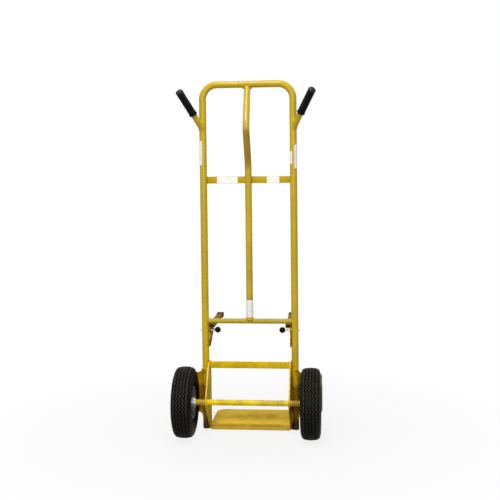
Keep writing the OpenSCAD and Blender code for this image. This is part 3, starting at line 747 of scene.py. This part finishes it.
def plated(name, rough, brush):
    """Plated steel with fine turning marks along X."""
    made = Finish(name, mottle=60.0)
    lines = made.noise(brush, 3.0, at=made.moved((1, 0.08, 0.08)))
    shade = made.mix(made.tone, tint("zinc", 0.78), tint("zinc"))
    made.fill(made.shader, {"Metallic": 1})
    rough = made.span(lines, 0.3, 0.7, rough, rough + 0.16)
    return made.done(shade, rough, lines, strength=0.05, distance=0.0003)


def vinyl(name):
    """White vinyl, a little yellowed, with rubbed patches."""
    made = Finish(name, mottle=70.0)
    rubs = made.effect("scuff", Scale=190.0, Amount=0.15)
    aged = [part * share for part, share in zip(tint("sticker"), (0.97, 0.95, 0.88))]
    shade = made.mix(made.tone, aged, tint("sticker"))
    shade = made.mix(rubs, shade, tint("scuff"))
    height = made.effect("grain", Scale=300.0)
    rough = made.between(made.tone, 0.38, 0.5)
    return made.done(shade, rough, height, strength=0.04, distance=0.0003)


# Reach and amount of dirt and painted shade, scuffs, chips, roughness and gloss of the paint on tubes and on
# plates
TUBES = dict(reach=0.5, grime=0.08, scuff=0.12, wear=0.8, dull=0.26, gloss=0.2)
PLATES = dict(reach=0.2, grime=0.15, scuff=0.2, wear=1.0, dull=0.6, gloss=0.06)
FINISHES = {
    "yellow_paint": (painted, dict(TUBES, fade=(0.15, 0.4))),
    "plate_paint": (painted, PLATES),
    "bracket_paint": (painted, dict(PLATES, low="tube_low", extra_layers=painted_bracket_shade)),
    # The uprights' feet are darkened hard: dirt and painted shade
    "tube_paint": (painted, dict(TUBES, low="tube_low", reach=0.1, grime=1.8, extra_layers=wheel_dirt_and_shade)),
    "bar_paint": (painted, dict(PLATES, base="shaded_bar_yellow", low="shaded_bar_yellow")),
    # The spine: painted light low down, painted shade under the bend
    "spine_paint": (painted, dict(TUBES, low="spine", fade=(0.65, 0.95), extra_layers=painted_spine_shade)),
    "sleeve_paint": (painted, dict(TUBES, low="sleeve", dull=0.3, gloss=0.16, extra_layers=darker_sleeve_ends)),
    # The guards: painted bounce light in their colour, dirt and painted shade low down
    "guard_paint": (painted, dict(TUBES, base="guard", low="guard", reach=0.12, grime=0.5, dull=0.5,
                                  gloss=0.06, extra_layers=wheel_dirt_and_shade)),
    "worn_paint": (painted, dict(PLATES, base="toe", low="toe", reach=0.3, grime=0.03, scuff=0.6, dull=0.7,
                                 gloss=0.05, extra_layers=toe_rubs)),
    "rusty_fork": (rust_and_shade_finish, dict(bare=0.56)),
    "rusty_gusset": (rust_and_shade_finish, dict(bare=0.5)),
    "grip_black": (black, dict(base="rubber", rough=0.36, grain=340.0, strength=0.25, gloss=0.05)),
    "cap_plastic": (black, dict(base="plastic", rough=0.4, grain=420.0, strength=0.12, gloss=0.1)),
    "knob_plastic": (black, dict(base="plastic", rough=0.14, grain=60.0, strength=0.02, gloss=0.05)),
    "tyre_black": (tyre_rubber, {}),
    "rim_grey": (rim_paint, {}),
    "zinc_plate": (plated, dict(rough=0.3, brush=900.0)),
    "bright_plate": (plated, dict(rough=0.14, brush=1200.0)),
    "sticker_vinyl": (vinyl, {}),
}
MADE = {}


def finish(name):
    """A material by name, made once."""
    if name not in MADE:
        maker, values = FINISHES[name]
        MADE[name] = maker(name, **values)
    return MADE[name]


# Operators

class StageOperator(bpy.types.Operator):
    """Sets the camera, the floor and the lamps"""

    bl_idname = "trolley.stage"
    bl_label = "Stage"

    picture_px = 500
    floor_size = 60
    # The floor's brightness at the trolley, and the distances over which it turns white
    least_white = 0.84
    white_span = (0.25, 1.1)
    # Place, aim and size of each lamp
    lamps = {"key": ((-0.3, -2.2, 3.5), (0, 0, 0.5), 0.7), "top": ((0, -0.6, 3.2), (0, 0, 0.5), 0.8),
             "front": ((0.5, -3.3, 1.2), (0, 0, 0.4), 0.7), "back": ((-0.8, 2.8, 2.2), (0, 0, 0.6), 1.2),
             "fill": ((-2.8, -1.6, 1.4), (0, 0, 0.7), 1.6)}

    def camera(self, stage):
        """The camera, at the bearing that was measured."""
        bearing = Vector((math.sin(stage.yaw), -math.cos(stage.yaw), 0))
        right = Vector((math.cos(stage.yaw), math.sin(stage.yaw), 0))
        forward = -bearing * math.cos(stage.pitch) - UP * math.sin(stage.pitch)
        up = right.cross(forward)
        across = math.cos(stage.roll) * right + math.sin(stage.roll) * up
        upright = math.cos(stage.roll) * up - math.sin(stage.roll) * right
        data = bpy.data.cameras.new("camera")
        data.sensor_width = 36
        data.lens = stage.focal_px / self.picture_px * data.sensor_width
        data.shift_x = (self.picture_px / 2 - stage.centre_x) / self.picture_px
        data.shift_y = (stage.centre_y - self.picture_px / 2) / self.picture_px
        camera = linked("camera", data)
        turn = Matrix((across, upright, -forward)).transposed().to_4x4()
        at = bearing * stage.distance + right * stage.aside + UP * stage.height
        camera.matrix_world = Matrix.Translation(at) @ turn
        bpy.context.scene.camera = camera

    def lamp(self, name, at, aim, size, power):
        """A square lamp that points at a place."""
        data = bpy.data.lights.new(name, "AREA")
        data.size = size
        data.energy = power
        lamp = linked(name, data)
        lamp.location = at
        lamp.rotation_euler = (Vector(aim) - Vector(at)).to_track_quat("-Z", "Y").to_euler()

    def floor(self):
        """A pale floor that runs past the picture."""
        deselect()
        bpy.ops.mesh.primitive_plane_add(size=self.floor_size, location=(0, 0, CAD_BOX[0].z - MM / 2))
        floor = bpy.context.object
        floor.name = "floor"
        made = Finish("studio_floor", mottle=2.0)
        pale = made.mix(made.tone, tint("floor", 0.985), tint("floor"))
        made.fill(made.shader, {"Base Color": pale, "Roughness": 0.7})
        bright = made.span(made.away(made.at), *self.white_span, self.least_white, 1.0)
        white = made.times(self.seen(made), bright)
        glow = made.add("ShaderNodeEmission", {"Color": (1, 1, 1, 1), "Strength": 1.0}).outputs[0]
        both = made.add("ShaderNodeMixShader", {0: white, 1: made.shader.outputs[0], 2: glow}).outputs[0]
        made.fill(made.tree.nodes["Material Output"], {"Surface": both})
        floor.data.materials.append(made.material)

    def seen(self, made):
        """Whether a ray comes from the camera, a reflection or through glass."""
        ray = made.add("ShaderNodeLightPath").outputs
        return made.most(ray["Is Camera Ray"], made.most(ray["Is Glossy Ray"], ray["Is Transmission Ray"]))

    def world(self, strength):
        """Even light, seen as white by the camera and in reflections."""
        world = bpy.data.worlds.new("studio")
        world.use_nodes = True
        bpy.context.scene.world = world
        made = Tree(world.node_tree)
        level = made.between(self.seen(made), strength, 1.0)
        made.fill(world.node_tree.nodes["Background"], {"Strength": level, "Color": (1, 1, 1, 1)})

    def execute(self, context):
        stage = settings().stage
        context.scene.view_settings.view_transform = "Standard"
        self.camera(stage)
        self.floor()
        self.world(stage.world)
        for name, (at, aim, size) in self.lamps.items():
            self.lamp(name + "_lamp", at, aim, size, getattr(stage, name + "_power"))
        return {"FINISHED"}


class SteelworkOperator(bpy.types.Operator):
    """Paints the tubes and rounds the edges of the plates and bars"""

    bl_idname = "trolley.steelwork"
    bl_label = "Steelwork"

    spine_shine = 0.6
    bracket_shine = 0.8
    # Least rise of the normal of a bracket's shiny faces
    upward = 0.3

    def execute(self, context):
        round_r = settings().sizes.edge_round
        for node, look in (("main_frame", "tube_paint"), ("lower_crossbar", "bar_paint"),
                           ("handle_left", "yellow_paint"), ("handle_right", "yellow_paint")):
            repaint(frame["nodes"][node], look)
        spine = round_off("centre_spine", "spine_paint", round_r / 2, sharp=60, smooth=50)
        polish(spine, self.spine_shine, lambda face: face.center.z > POLISHED_Z)
        round_off("axle_sleeve", "sleeve_paint", round_r)
        round_off("upper_crossbar", "plate_paint", round_r)
        round_off("brace_bar", "plate_paint", round_r)
        for side in SIDES:
            bracket = round_off("axle_bracket_" + side, "bracket_paint", round_r)
            polish(bracket, self.bracket_shine, lambda face: face.normal.z > self.upward)
            round_off("wheel_guard_" + side, "guard_paint", round_r)
        round_off("toe_plate", "worn_paint", round_r)
        return {"FINISHED"}


class ForksOperator(bpy.types.Operator):
    """Rounds the forks, their gussets and their tip caps"""

    bl_idname = "trolley.forks"
    bl_label = "Forks"

    def execute(self, context):
        round_r = settings().sizes.edge_round
        for side in SIDES:
            round_off("fork_" + side, "rusty_fork", round_r / 2, sharp=50)
            round_off("fork_gusset_" + side, "rusty_gusset", round_r)
            round_off("fork_tip_" + side, "cap_plastic", round_r / 2, sharp=50)
        return {"FINISHED"}


def saddle(foot, along, branch_r, axis, main_r):
    """The line where a branch tube meets a main tube."""
    first = axis.cross(along).normalized()
    second = along.cross(first)
    flat = along - axis * along.dot(axis)
    line = []
    for turn in turns(64):
        out = branch_r * (math.cos(turn) * first + math.sin(turn) * second)
        off = out - axis * out.dot(axis)
        square, half = flat.length_squared, off.dot(flat)
        under = max(0.0, half * half - square * (off.length_squared - main_r * main_r))
        line.append(foot + out + along * ((math.sqrt(under) - half) / square))
    return line


def handle_axis(side):
    """The direction in which a handle leaves its upright."""
    sizes = settings().sizes
    out = math.sin(sizes.handle_lean)
    return Vector((SIDES[side] * out * math.cos(sizes.handle_turn), -out * math.sin(sizes.handle_turn),
                   math.cos(sizes.handle_lean)))


class WeldsOperator(bpy.types.Operator):
    """Lays the weld beads along the joints of the frame"""

    bl_idname = "trolley.welds"
    bl_label = "Welds"

    ripple = 0.8
    # Thickness of some beads, as shares of the usual one
    spine_top_share = 2.2
    spine_foot_share = 1.4
    handle_share = 1.2
    seam_share = 0.75
    # Lower and upper ends of the seams between an upright and its bracket
    seam_heights = ((0.03, 0.075), (0.105, 0.155), (0.2, 0.25))
    # Ends and height of the seam between a bracket and the toe plate, and the height of the upright's own
    toe_seam_y = (-0.009, 0.008)
    toe_seam_rise = 0.005
    foot_seam_rise = 0.006
    # Distances of a guard's back and front from the tyre
    guard_gaps = (0.007, 0.010)
    guard_steps = 40

    def rings(self):
        """Closed beads round the tubes that end on others, each with its share of the usual thickness."""
        sizes = settings().sizes
        spine = Vector((0, BEND_Y, BEND_Z - TOP_Z)).normalized()
        yield self.spine_top_share, saddle(UP * TOP_Z, spine, SPINE_R, ACROSS, TUBE_R)
        lower_z = (LOWER_LOW.z + LOWER_HIGH.z) / 2
        lower_r = LOWER_HIGH.y
        for side, sign in SIDES.items():
            yield 1, saddle(Vector((sign * SIDE_X, 0, lower_z)), -sign * ACROSS, lower_r, UP, TUBE_R)
            at = Vector((sign * SIDE_X, 0, sizes.handle_z))
            yield self.handle_share, saddle(at, handle_axis(side), sizes.handle_r, UP, TUBE_R)
        ring = []
        for turn in turns(48):
            y = SPINE_R * math.sin(turn)
            rise = lower_z + math.sqrt(max(0.0, lower_r ** 2 - y ** 2))
            ring.append(Vector((SPINE_R * math.cos(turn), y, max(SPINE_LOW.z, rise))))
        yield self.spine_foot_share, ring
        sleeve_r = (SLEEVE_HIGH.z - SLEEVE_LOW.z) / 2
        for x in (BRACKET_LOW.x, BRACKET_HIGH.x):
            for sign in SIDES.values():
                yield 1, [Vector((sign * x, WHEEL.y + sleeve_r * math.cos(turn),
                                  WHEEL.z + sleeve_r * math.sin(turn))) for turn in turns(40)]

    def seams(self):
        """Open beads along the plates on the right side."""
        groove = 0.5 * TUBE_R
        gap_x = (BRACKET_HIGH.x + SIDE_X - math.sqrt(TUBE_R ** 2 - groove ** 2)) / 2
        inner = BRACKET_LOW.x
        for low, high in self.seam_heights:
            for y in (-groove, groove):
                yield [(gap_x, y, low), (gap_x, y, high)]
        for y in (BRACE_LOW.y, BRACE_HIGH.y):
            yield [(inner, y, BRACE_LOW.z), (inner, y, BRACE_HIGH.z)]
        reach = 0.6 * TUBE_R
        for z in (UPPER_LOW.z, UPPER_HIGH.z):
            for x in (SIDE_X, 0.0):
                yield [(at, TUBE_R, z) for at in (x - reach, x, min(x + reach, SIDE_X))]
        yield [(GUSSET_LOW.x, y, GUSSET_HIGH.z) for y in (GUSSET_LOW.y, GUSSET_HIGH.y)]
        yield [(inner, y, TOE_LOW.z + self.toe_seam_rise) for y in self.toe_seam_y]
        yield [(SIDE_X + 0.7 * TUBE_R * math.sin(turn), TUBE_R + 0.0004, TOE_LOW.z + self.foot_seam_rise)
               for turn in (-1.0, -0.5, 0.0)]
        for gap in self.guard_gaps:
            for low, high in ((GUARD_LOW.z, WHEEL.z), (WHEEL.z, GUARD_HIGH.z)):
                line = self.guard_line(TYRE_R + gap, low, high)
                if len(line) > 2:
                    yield line

    def guard_line(self, radius, low, high):
        """Where a guard's back or front meets the upright's outer side."""
        line = []
        for k in range(self.guard_steps + 1):
            z = low + (high - low) * k / self.guard_steps
            y = WHEEL.y + math.sqrt(max(0.0, radius ** 2 - (z - WHEEL.z) ** 2))
            if abs(y) < 0.98 * TUBE_R:
                line.append((SIDE_X + math.sqrt(TUBE_R ** 2 - y * y), y, z))
        return line

    def execute(self, context):
        sizes = settings().sizes
        step = sizes.weld_pitch / 2
        beads = [wire("bead", resampled(line, step, True), share * sizes.weld_r, True, self.ripple)
                 for share, line in self.rings()]
        for sign in SIDES.values():
            for line in self.seams():
                points = resampled([Vector((sign * x, y, z)) for x, y, z in line], step, False)
                beads.append(wire("bead", points, self.seam_share * sizes.weld_r, False, self.ripple))
        dress(joined(beads), "weld_beads", "frame", "yellow_paint", smooth=60)
        return {"FINISHED"}


class GripsOperator(bpy.types.Operator):
    """Models the ribbed rubber grips"""

    bl_idname = "trolley.grips"
    bl_label = "Grips"

    steps = 64
    rib_depth = 0.0009
    flutes = 16
    flute_share = 0.25
    flute_depth = 0.0006
    collar_tall = 0.007
    cuff_tall = 0.013
    cuff_rise = 0.0003
    tip_r = 0.0085
    hole_r = 0.003
    hole_depth = 0.004
    tip_shine = 0.45
    tip_tall = 0.012

    def profile(self, sizes):
        """Half the grip's section along its handle."""
        start, end, outer = sizes.grip_from, sizes.grip_to, sizes.grip_collar_r
        core = sizes.grip_r - self.rib_depth
        collar = start + self.collar_tall
        cuff = end - self.cuff_tall
        cuff_r = sizes.grip_r + self.cuff_rise
        line = [(sizes.handle_r + MM / 10, start), (outer - MM, start), (outer, start + MM),
                (outer, collar - MM), (outer - MM, collar), (core, collar + 0.6 * MM)]
        pitch = (cuff - collar) / sizes.grip_ribs
        for k in range(sizes.grip_ribs):
            low = collar + k * pitch
            for radius, share in ((core, 0.2), (sizes.grip_r, 0.32), (sizes.grip_r, 0.68), (core, 0.8)):
                line.append((radius, low + share * pitch))
        line += [(core, cuff), (cuff_r, cuff + 0.8 * MM)]
        for k in range(10):
            turn = math.radians(10 * k)
            line.append((cuff_r - self.tip_r * (1 - math.cos(turn)),
                         end - self.tip_r * (1 - math.sin(turn))))
        hole, deep = self.hole_r, end - self.hole_depth
        line += [(hole + 0.4 * MM, end), (hole, end - 0.4 * MM), (hole, deep), (0.0, deep)]
        return line

    def fluted(self, face, least_r):
        """Whether a face lies on a rib and in one of the lengthwise flutes."""
        at = face.calc_center_median()
        on_rib = abs(face.normal.z) < 0.3 and at.xy.length > least_r
        return on_rib and (bearing_share(at) * self.flutes) % 1 < self.flute_share

    def execute(self, context):
        sizes = settings().sizes
        grip = lathe("grip", self.profile(sizes), self.steps)
        edit(grip)
        pick(grip, "FACE", lambda face: self.fluted(face, sizes.grip_r - 0.2 * MM))
        bpy.ops.mesh.extrude_region_shrink_fatten(TRANSFORM_OT_shrink_fatten={"value": -self.flute_depth})
        object_mode()
        polish(grip, self.tip_shine, lambda face: face.center.z > sizes.grip_to - self.tip_tall)
        for side, sign in SIDES.items():
            foot = Vector((sign * SIDE_X, 0, sizes.handle_z))
            turn = handle_axis(side).to_track_quat("Z", "Y").to_matrix().to_4x4()
            made = copied(grip, Matrix.Translation(foot) @ turn)
            dress(made, "rubber_grip_" + side, "frame", "grip_black", ["grip_" + side], 30)
        bpy.data.objects.remove(grip)
        return {"FINISHED"}


class TyresOperator(bpy.types.Operator):
    """Models the tyres with their sidewalls and zigzag tread"""

    bl_idname = "trolley.tyres"
    bl_label = "Tyres"

    # Sidewall points as offset share of the half width and radius share of the tyre
    wall_shares = ((0.70, 0.387), (0.755, 0.452), (0.795, 0.468), (0.836, 0.478), (0.857, 0.5),
                   (0.92, 0.558), (0.945, 0.578), (0.968, 0.582), (0.974, 0.597), (0.962, 0.602),
                   (0.988, 0.662), (1.0, 0.745), (0.993, 0.8), (0.985, 0.828), (0.996, 0.832),
                   (0.989, 0.847), (0.969, 0.851), (0.938, 0.893), (0.876, 0.93), (0.845, 0.942))
    inner_shares = ((0.52, 0.387), (0.60, 0.46), (0.80, 0.70), (0.66, 0.87), (0.3, 0.92))
    tread_share = 0.8
    drop_share = 0.046
    floor_share = 0.55
    crest_rise = 0.0004
    # Radius shares of the raised rings on the sidewalls, and how much dust they hold
    ring_shares = (0.582, 0.597, 0.832, 0.847)
    ring_dust = 0.62
    # Radius shares between which the shoulder slots lie, the offset share past which they do, and their cut
    slot_shares = (0.90, 0.945)
    slot_from = 0.84
    slot_inset = 0.0003
    slot_depth = 0.0016

    def crown(self, x):
        """Radius of the tread beside its crests, at an offset from the middle."""
        return TYRE_R * (1 - self.drop_share * (x / (self.tread_share * TYRE_HALF)) ** 2) - self.crest_rise

    def on_tread(self, at, sizes, half):
        """Whether a place lies on the tread, within a half width of it."""
        return abs(at.z) < half and at.xy.length > TYRE_R - 1.5 * sizes.groove_depth

    def profile(self, sizes):
        """The tyre's closed section as radius and offset."""
        wall = [(TYRE_R * radius, TYRE_HALF * offset) for offset, radius in self.wall_shares]
        inner = [(TYRE_R * radius, TYRE_HALF * offset) for offset, radius in self.inner_shares]
        edge = self.tread_share * TYRE_HALF
        ribs = sizes.grooves + 1
        half = sizes.groove_w / 2
        tread = [(self.crown(edge), edge)]
        for k in range(1, ribs):
            middle = edge - 2 * edge * k / ribs
            crest = middle + edge / ribs
            mouth = self.crown(middle)
            deep = mouth - sizes.groove_depth
            tread += [(self.crown(crest) + self.crest_rise, crest), (mouth, middle + half),
                      (deep, middle + self.floor_share * half), (deep, middle - self.floor_share * half),
                      (mouth, middle - half)]
        last = edge / ribs - edge
        tread += [(self.crown(last) + self.crest_rise, last), (self.crown(edge), -edge)]
        back = [(radius, -offset) for radius, offset in reversed(wall)]
        inner_back = [(radius, -offset) for radius, offset in inner]
        return wall + tread + back + inner_back + inner[::-1] + wall[:1]

    def swing(self, tyre, sizes, steps):
        """Shifts every second pair of tread points sideways, into zigzags."""
        half = self.tread_share * TYRE_HALF - sizes.groove_w

        def on_beat(at, beat):
            return self.on_tread(at, sizes, half) and round(bearing_share(at) * steps) % 4 == beat

        for beat, way in ((1, 1), (3, -1)):
            pick(tyre, "VERT", lambda vert: on_beat(vert.co, beat))
            bpy.ops.transform.translate(value=(0, 0, way * sizes.zigzag_swing))

    def cut_shoulders(self, tyre, steps):
        """Sinks a row of slots into both shoulders."""
        foot, top = (TYRE_R * share for share in self.slot_shares)

        def slot(face):
            at = face.calc_center_median()
            on_shoulder = foot < at.xy.length < top and abs(at.z) > self.slot_from * TYRE_HALF
            return on_shoulder and math.floor(bearing_share(at) % 1 * steps) % 4 == 0

        pick(tyre, "FACE", slot)
        bpy.ops.mesh.inset(thickness=self.slot_inset, use_individual=False)
        bpy.ops.transform.shrink_fatten(value=-self.slot_depth)

    def mark_ribs(self, tyre, sizes):
        """Marks the crests of the ribs, where dust and a painted highlight lie, and the raised rings, where
        dust lies.
        """
        object_mode()
        edge = self.tread_share * TYRE_HALF
        ribs = sizes.grooves + 1
        crests = [self.crown(edge * (2 * k + 1) / ribs - edge) + self.crest_rise for k in range(ribs)]
        rings = [share * TYRE_R for share in self.ring_shares]
        worn = []
        for vert in tyre.data.vertices:
            out = vert.co.xy.length
            on_crest = min(abs(out - crest) for crest in crests) < self.crest_rise / 8
            on_crest = on_crest and self.on_tread(vert.co, sizes, edge + sizes.zigzag_swing)
            on_ring = min(abs(out - ring) for ring in rings) < MERGE
            worn.append(max(float(on_crest), self.ring_dust * on_ring))
        mark(tyre, "rib", worn, "POINT")

    def execute(self, context):
        sizes = settings().sizes
        steps = 4 * sizes.zigzags
        tyre = lathe("tyre", self.profile(sizes), steps)
        edit(tyre)
        self.swing(tyre, sizes, steps)
        self.cut_shoulders(tyre, steps)
        self.mark_ribs(tyre, sizes)
        for side, sign in SIDES.items():
            made = copied(tyre, outwards(sign, *WHEEL))
            dress(made, "tread_tyre_" + side, "wheel_" + side, "tyre_black", ["tyre_" + side])
        bpy.data.objects.remove(tyre)
        return {"FINISHED"}


class WheelsOperator(bpy.types.Operator):
    """Finishes the rims, hubs, bearings, bolts and valves"""

    bl_idname = "trolley.wheels"
    bl_label = "Wheels"

    # Finish, edge rounding and least angle of a rounded edge
    roundings = {"rim_outer_": ("rim_grey", 0.0006, 22), "rim_inner_": ("rim_grey", 0.0006, 22),
                 "hub_": ("zinc_plate", 0.0008, 30), "rim_bolts_": ("zinc_plate", 0.0005, 30),
                 "rim_nuts_": ("zinc_plate", 0.0005, 30)}
    valve_steps = 32
    # Radius and height shares of a valve
    valve_shares = ((0.0, 0.0), (1.0, 0.0), (1.0, 0.16), (0.72, 0.2), (0.66, 0.6), (0.9, 0.62), (0.94, 0.66),
                    (0.94, 0.93), (0.8, 0.99), (0.0, 1.0))

    def execute(self, context):
        for side, sign in SIDES.items():
            for node, (look, width, sharp) in self.roundings.items():
                round_off(node + side, look, width, sharp)
            repaint(frame["nodes"]["bearings_" + side], "zinc_plate")
            repaint(frame["nodes"]["inner_tube_" + side], "cap_plastic")
            self.valve(side, sign)
        return {"FINISHED"}

    def valve(self, side, sign):
        """A rubber stem with its cap."""
        low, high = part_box("valve_" + side)
        radius, tall = (high.z - low.z) / 2, high.x - low.x
        stem = lathe("valve", [(radius * r, tall * h) for r, h in self.valve_shares], self.valve_steps)
        foot = low.x if sign > 0 else -high.x
        place(stem, outwards(sign, foot, (low.y + high.y) / 2, (low.z + high.z) / 2))
        dress(stem, "valve_stem_" + side, "wheel_" + side, "cap_plastic", ["valve_" + side])


class AxleOperator(bpy.types.Operator):
    """Finishes the axle, its washers and its split pins"""

    bl_idname = "trolley.axle"
    bl_label = "Axle"

    # Half of a split pin's line, as shares of the shank's length across and along it
    leg_shares = ((0.2, -0.5), (0.1, -0.43), (0.032, -0.35), (0.03, -0.2), (0.03, 0.1), (0.03, 0.36))
    thick_share = 0.026
    eye_share = 0.1
    pin_inset = 0.0016

    def execute(self, context):
        round_off("axle", "zinc_plate", 0.001)
        round_off("axle_washers", "zinc_plate", 0.0004)
        low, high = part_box("cotter_pins")
        shank = 2 * (WHEEL.z - low.z)
        pins = [self.pin(sign * (high.x - self.pin_inset), shank) for sign in SIDES.values()]
        dress(joined(pins), "split_pins", "frame", "zinc_plate", ["cotter_pins"], 60)
        return {"FINISHED"}

    def pin(self, x, shank):
        """One split pin: an eye over the axle and two legs bent apart under it."""
        eye = self.eye_share * shank
        legs = [Vector((x, WHEEL.y + shank * across, WHEEL.z + shank * along))
                for across, along in self.leg_shares]
        top = legs[-1]
        middle = Vector((x, WHEEL.y, top.z + 0.9 * eye))
        start = math.atan2(top.z - middle.z, top.y - middle.y)
        bends = [start + math.radians(10 + 22 * k) for k in range(15)]
        ring = [middle + 0.95 * eye * Vector((0, math.cos(turn), math.sin(turn))) for turn in bends]
        back = [Vector((point.x, 2 * WHEEL.y - point.y, point.z)) for point in reversed(legs)]
        return wire("split_pin", legs + ring + back, self.thick_share * shank, sides=3)


class LockPinsOperator(bpy.types.Operator):
    """Models the lock pins and their ball knobs"""

    bl_idname = "trolley.lock_pins"
    bl_label = "Lock pins"

    pin_steps = 40
    # A knob's flat, the ledge round its neck, the neck's height and bore, and the rounding, as radius shares
    flat_share = 0.86
    ledge_share = 0.1
    neck_share = 0.14
    bore_share = 0.12
    round_share = 0.03

    def pin_profile(self, radius, tall):
        """A pin with a ring groove, from its knob to its blunt tip."""
        ring = 0.3 * tall
        neck = 0.82 * radius
        return [(0, 0), (radius, 0), (radius, ring), (neck, ring + 0.5 * MM), (neck, ring + 1.8 * MM),
                (radius, ring + 2.3 * MM), (radius, tall - 1.1 * radius),
                (0.94 * radius, tall - 0.95 * radius), (0.55 * radius, tall - 0.06 * radius),
                (0.45 * radius, tall), (0, tall)]

    def knob(self, radius):
        """A ball cut flat towards its pin, with a short neck."""
        deselect()
        bpy.ops.mesh.primitive_uv_sphere_add(segments=48, ring_count=32, radius=radius)
        knob = bpy.context.object
        edit(knob)
        flat = self.flat_share * radius
        bpy.ops.mesh.bisect(plane_co=(0, 0, flat), plane_no=UP, clear_outer=True, use_fill=True)
        pick(knob, "FACE", lambda face: face.normal.z > 0.99
             and face.calc_center_median().z > flat - MM / 10)
        bpy.ops.mesh.inset(thickness=self.ledge_share * radius)
        bpy.ops.mesh.extrude_region_move(TRANSFORM_OT_translate={"value": (0, 0, self.neck_share * radius)})
        bpy.ops.mesh.inset(thickness=self.bore_share * radius)
        object_mode()
        apply_modifier(knob, "BEVEL", width=self.round_share * radius, segments=2, limit_method="ANGLE",
                       angle_limit=math.radians(40))
        return knob

    def execute(self, context):
        middle = (KNOB_LOW + KNOB_HIGH) / 2
        section = self.pin_profile((PIN_HIGH.z - PIN_LOW.z) / 2, PIN_HIGH.x - PIN_LOW.x)
        pin = lathe("pin", section, self.pin_steps)
        knob = self.knob((KNOB_HIGH.z - KNOB_LOW.z) / 2)
        pieces = ((pin, PIN_LOW.x, "pull_pin_", "bright_plate", "zinc_steel", "lock_pin_"),
                  (knob, middle.x, "ball_knob_", "knob_plastic", "black_knob", "lock_knob_"))
        for side, sign in SIDES.items():
            for shape, x, name, look, slot, node in pieces:
                made = copied(shape, outwards(sign, x, middle.y, middle.z))
                dress(made, name + side, "lock_pin_" + side, look, [node + side])
        bpy.data.objects.remove(pin)
        bpy.data.objects.remove(knob)
        return {"FINISHED"}


class StickersOperator(bpy.types.Operator):
    """Lays the blank stickers on the frame"""

    bl_idname = "trolley.stickers"
    bl_label = "Stickers"

    # Tube axis and radius, lower and upper end, bearing of the middle and turn in degrees
    wraps = {"left": (-SIDE_X, TUBE_R, 1.003, 1.095, 174, 168),
             "right": (SIDE_X, TUBE_R, 0.9875, 1.0775, 40, 220),
             "inner": (SIDE_X, TUBE_R, 1.004, 1.052, 205, 90),
             "spine": (0, SPINE_R, 0.4285, 0.494, -90, 230)}
    wrap_corner = 0.004
    wrap_cuts = 28
    # Middle and width of the stickers on the upper crossbar
    flats = {"wide": (-0.081, 0.079), "small": (0.092, 0.047)}
    flat_corner = 0.002
    flat_share = 0.94

    def flat(self, wide, tall, corner, cuts):
        """A flat sticker in the XZ plane, cut across so that it can wrap."""
        deselect()
        bpy.ops.mesh.primitive_plane_add(size=1, rotation=(math.pi / 2, 0, 0))
        obj = bpy.context.object
        obj.scale = (wide, tall, 1)
        bpy.ops.object.transform_apply(location=True, rotation=True, scale=True)
        edit(obj)
        bpy.ops.mesh.bevel(offset=corner, segments=5, affect="VERTICES")
        for k in range(1, cuts):
            bpy.ops.mesh.select_all(action="SELECT")
            bpy.ops.mesh.bisect(plane_co=(wide * (k / cuts - 0.5), 0, 0), plane_no=ACROSS)
        object_mode()
        return obj

    def lay(self, obj, name):
        """Gives a sticker its thickness and finish."""
        apply_modifier(obj, "SOLIDIFY", thickness=settings().sizes.sticker_t, offset=0)
        edit(obj)
        bpy.ops.mesh.normals_make_consistent(inside=False)
        object_mode()
        dress(obj, "blank_sticker_" + name, "frame", "sticker_vinyl")

    def execute(self, context):
        thick = settings().sizes.sticker_t
        for name, (x, radius, low, high, middle, turn) in self.wraps.items():
            over = radius + thick
            obj = self.flat(over * math.radians(turn), high - low, self.wrap_corner, self.wrap_cuts)
            for vert in obj.data.vertices:
                at = math.radians(middle) + vert.co.x / over
                vert.co = (x + over * math.cos(at), over * math.sin(at), (low + high) / 2 + vert.co.z)
            self.lay(obj, name)
        tall = UPPER_HIGH.z - UPPER_LOW.z
        for name, (middle, wide) in self.flats.items():
            obj = self.flat(wide, self.flat_share * tall, self.flat_corner, 1)
            place(obj, Matrix.Translation((middle, UPPER_LOW.y - thick, (UPPER_LOW.z + UPPER_HIGH.z) / 2)))
            self.lay(obj, name)
        return {"FINISHED"}


class TrolleyPanel(bpy.types.Panel):
    """Lists the trolley's pieces in the sidebar"""

    bl_idname = "VIEW3D_PT_trolley"
    bl_label = "Trolley"
    bl_space_type = "VIEW_3D"
    bl_region_type = "UI"
    bl_category = "Trolley"

    def draw(self, context):
        for operator in OPERATORS:
            self.layout.operator(operator.bl_idname)
        for group in (settings().sizes, settings().colours, settings().stage):
            box = self.layout.box()
            for key in group.__annotations__:
                box.prop(group, key)


OPERATORS = (StageOperator, SteelworkOperator, ForksOperator, WeldsOperator, GripsOperator, TyresOperator,
             WheelsOperator, AxleOperator, LockPinsOperator, StickersOperator)
CLASSES = (TrolleySizes, TrolleyColours, TrolleyStage, TrolleySettings, *OPERATORS, TrolleyPanel)


def register():
    """Makes the settings, the operators and the panel known."""
    for cls in CLASSES:
        bpy.utils.register_class(cls)
    bpy.types.Scene.trolley = PointerProperty(type=TrolleySettings)


def unregister():
    """Takes them away again."""
    del bpy.types.Scene.trolley
    for cls in reversed(CLASSES):
        bpy.utils.unregister_class(cls)


def main():
    """Builds every piece in order."""
    register()
    bpy.ops.trolley.stage()
    bpy.ops.trolley.steelwork()
    bpy.ops.trolley.forks()
    bpy.ops.trolley.welds()
    bpy.ops.trolley.grips()
    bpy.ops.trolley.tyres()
    bpy.ops.trolley.wheels()
    bpy.ops.trolley.axle()
    bpy.ops.trolley.lock_pins()
    bpy.ops.trolley.stickers()


if __name__ == "__main__":
    main()
